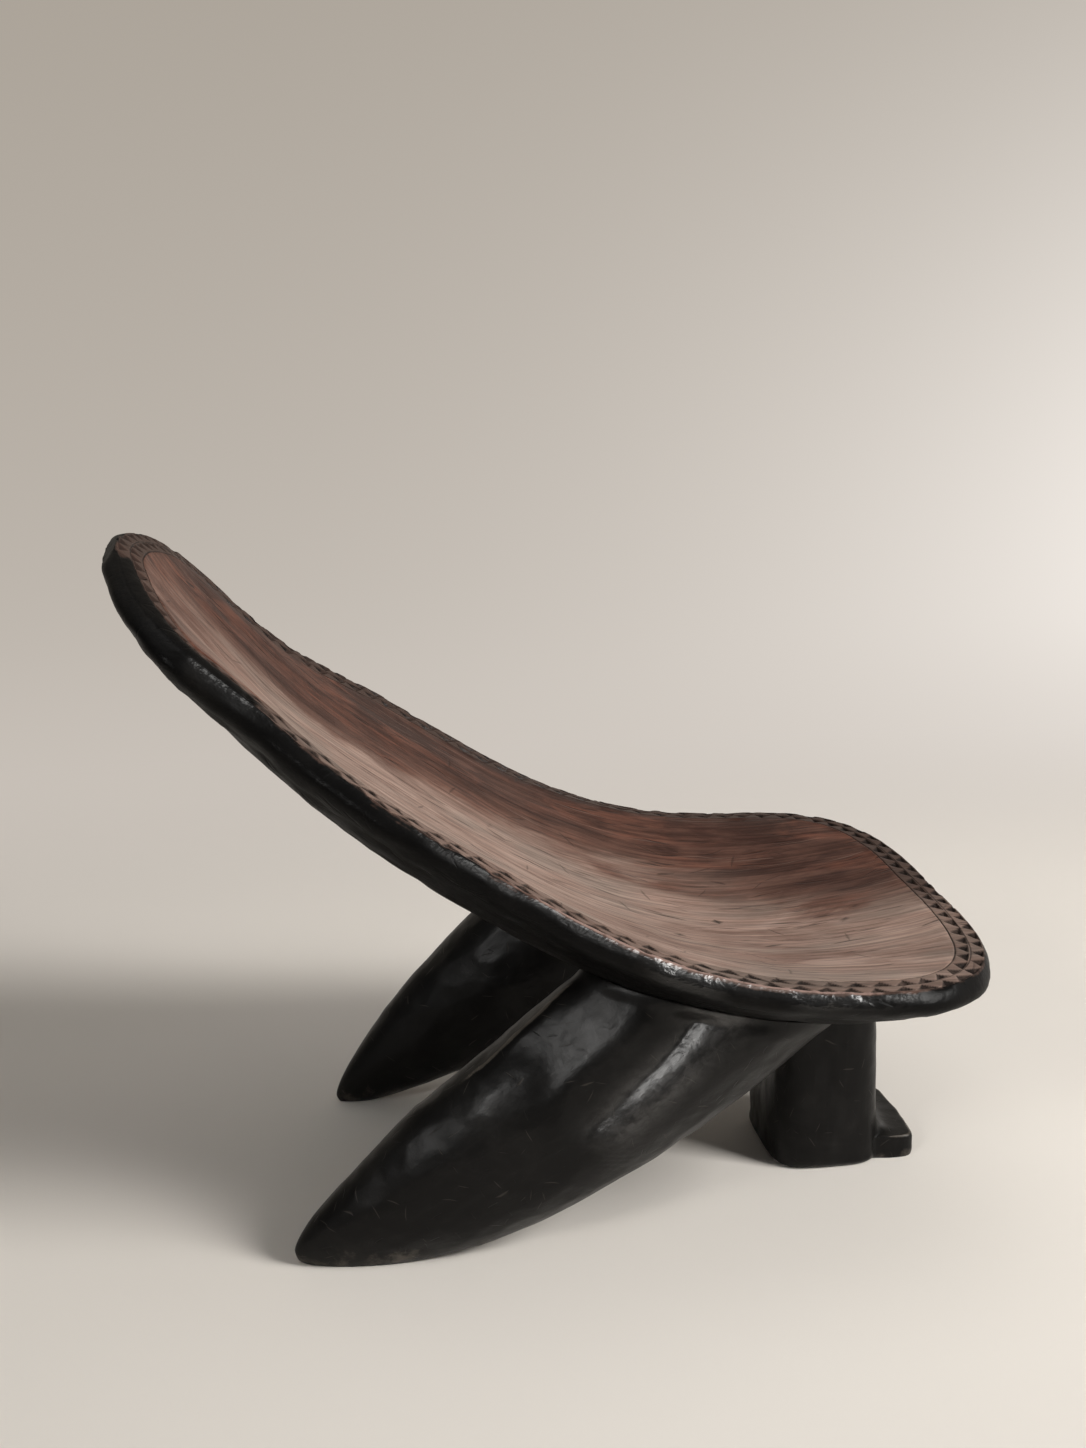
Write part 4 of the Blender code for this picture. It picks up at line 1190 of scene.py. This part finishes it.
# Tenons: raw pale wood, its grain drawn out along the upright.
def makeTenonMaterial():
    f = tenonFinish
    material, tree, shader, place = startMaterial("rawTenonWood")
    grain = noiseOn(place, *f.grain)
    feedNamed(shader, {
        "Base Color": ramp(grain, f.browns), "Roughness": remap(grain, *f.rough),
        "Normal": bumped(grain, *f.bump),
    })
    return material


seatWood, legWood, tenonWood = makeSeatMaterial(), makeLegMaterial(), makeTenonMaterial()
carvedSeat.data.materials.append(seatWood)
for leg in (rightTusk, leftTusk, footedColumn):
    leg.data.materials.append(legWood)
for name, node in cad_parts.items():
    if "tenon" in name:
        node.data.materials.clear()
        node.data.materials.append(tenonWood)
print("materials made")

studio = Values(
    floorNear=-12.0, floorFar=2.6, bend=1.6, wallTop=5.0, half=12.0,
    floorSteps=24, bendSteps=32, wallSteps=6, acrossSteps=9,
    paper=(0.80, 0.755, 0.70), paperShade=0.985, paperNoise=((3.0, 3.0, 3.0), 3.0), paperStops=(0.2, 0.8),
    paperRough=0.9, paperSpecular=0.2,
    # painted wall: its shade, the glow to the right with its place and spread, the fall with height, where it starts
    wallShade=(0.453, 0.409, 0.359), wallGlow=(1.10, 1.08, 1.07), wallFall=(0.042, 0.040, 0.040),
    glowAt=(5.0, 2.53), glowSpread=(2.88, 2.35), fallFrom=4.0, wallFrom=(0.6, 1.7),
    lamps=(
        Values(name="softBox", place=(4.08, -2.53, 3.15), aim=(0.0, 0.0, 0.3), size=1.9, power=350.0),
        Values(name="overhead", place=(-0.3, 0.5, 3.8), aim=(-0.25, 0.4, 0.0), size=3.2, power=26.0),
        Values(name="sideCard", place=(-1.83, -2.05, 1.72), aim=(0.05, -0.2, 0.36), size=0.8, power=1.05,
               spread=32.0),
    ),
    lampColour=(1.0, 0.985, 0.96), fill=0.10, fillColour=(1.0, 0.985, 0.965, 1.0),
)


# Studio paper: a floor line, a quarter circle up and a wall line, drawn out sideways; past the object the eye sees a
# painted wall: a shade that falls with the run up the paper, plus a bell of glow to the right.
def makePaper():
    p = studio
    bend = np.linspace(0.0, math.pi / 2, p.bendSteps + 1)[1:]
    wallY = p.floorFar + p.bend
    wallZ = np.linspace(p.bend, p.wallTop, p.wallSteps + 1)[1:]
    floorY = np.linspace(p.floorNear, p.floorFar, p.floorSteps)
    y = np.concatenate([floorY, p.floorFar + p.bend * np.sin(bend), 0 * wallZ + wallY])
    z = np.concatenate([0 * floorY, p.bend * (1 - np.cos(bend)), wallZ])
    run = np.concatenate([[0.0], np.cumsum(np.hypot(np.diff(y), np.diff(z)))]) + p.floorNear
    x = np.linspace(-p.half, p.half, p.acrossSteps)[:, None]
    points = beside(x + 0 * y, y + 0 * x, z + 0 * x)
    across, up = points.shape[:2]
    index = np.arange(across * up).reshape(across, up)
    quads = beside(index[:-1, :-1], index[1:, :-1], index[1:, 1:], index[:-1, 1:]).reshape(-1, 4)
    mesh = bpy.data.meshes.new("studioPaper")
    mesh.from_pydata(points.reshape(-1, 3).tolist(), [], quads.tolist())
    mesh.attributes.new("run", "FLOAT", "POINT").data.foreach_set("value", np.tile(run, across).astype(np.float32))
    mesh.shade_smooth()
    paper = addObject("studioPaper", mesh)

    material, tree, shader, place = startMaterial("palePaper")
    shaded = tuple(value * p.paperShade for value in p.paper)
    feedNamed(shader, {
        "Base Color": ramp(noiseOn(place, *p.paperNoise), list(zip(p.paperStops, (shaded, p.paper)))),
        "Roughness": p.paperRough, "Specular IOR Level": p.paperSpecular,
    })
    upPaper = meshValue(tree, "run")
    sideways = put(tree, "SeparateXYZ", Vector=place).outputs["X"]
    square = 0.0
    for value, middle, spread in zip((sideways, upPaper), p.glowAt, p.glowSpread):
        square = plus(square, calc("POWER", calc("DIVIDE", minus(value, middle), spread), 2.0))
    glow = calc("EXPONENT", times(square, -1.0))
    painted = p.wallShade
    for amount, colour in ((glow, p.wallGlow), (minus(p.fallFrom, upPaper), p.wallFall)):
        many = put(tree, "CombineXYZ", X=amount, Y=amount, Z=amount).outputs[0]
        painted = vectorCalc("MULTIPLY_ADD", many, colour, painted)
    light = put(tree, "LightPath").outputs
    mirrored = plus(light["Is Glossy Ray"], light["Is Transmission Ray"])
    seen = plus(light["Is Camera Ray"], mirrored, clamp=True)
    blend = put(tree, "MixShader", Fac=times(seen, remap(upPaper, *p.wallFrom)))
    feed(blend.inputs[1], shader.outputs[0])
    feed(blend.inputs[2], put(tree, "Emission", Color=painted).outputs[0])
    feed(tree.nodes["Material Output"].inputs["Surface"], blend.outputs[0])
    mesh.materials.append(material)


# Lamps: each a square soft box aimed at a spot, and a low even sky.
def makeLights():
    for one in studio.lamps:
        lamp = bpy.data.lights.new(one.name, "AREA")
        lamp.size, lamp.energy, lamp.color = one.size, one.power, studio.lampColour
        lamp.spread = math.radians(one.get("spread", 180.0))
        box = addObject(one.name, lamp)
        box.location = one.place
        aim = np.array(one.aim) - np.array(one.place)
        tip, turn = math.acos(-aim[2] / np.linalg.norm(aim)), math.atan2(aim[1], aim[0])
        box.rotation_euler = (tip, 0.0, turn - math.pi / 2)
    world = bpy.data.worlds.new("studioFill")
    world.use_nodes = True
    feedNamed(world.node_tree.nodes["Background"], {"Color": studio.fillColour, "Strength": studio.fill})
    scene.world = world


makePaper()
makeLights()
print("studio lit")
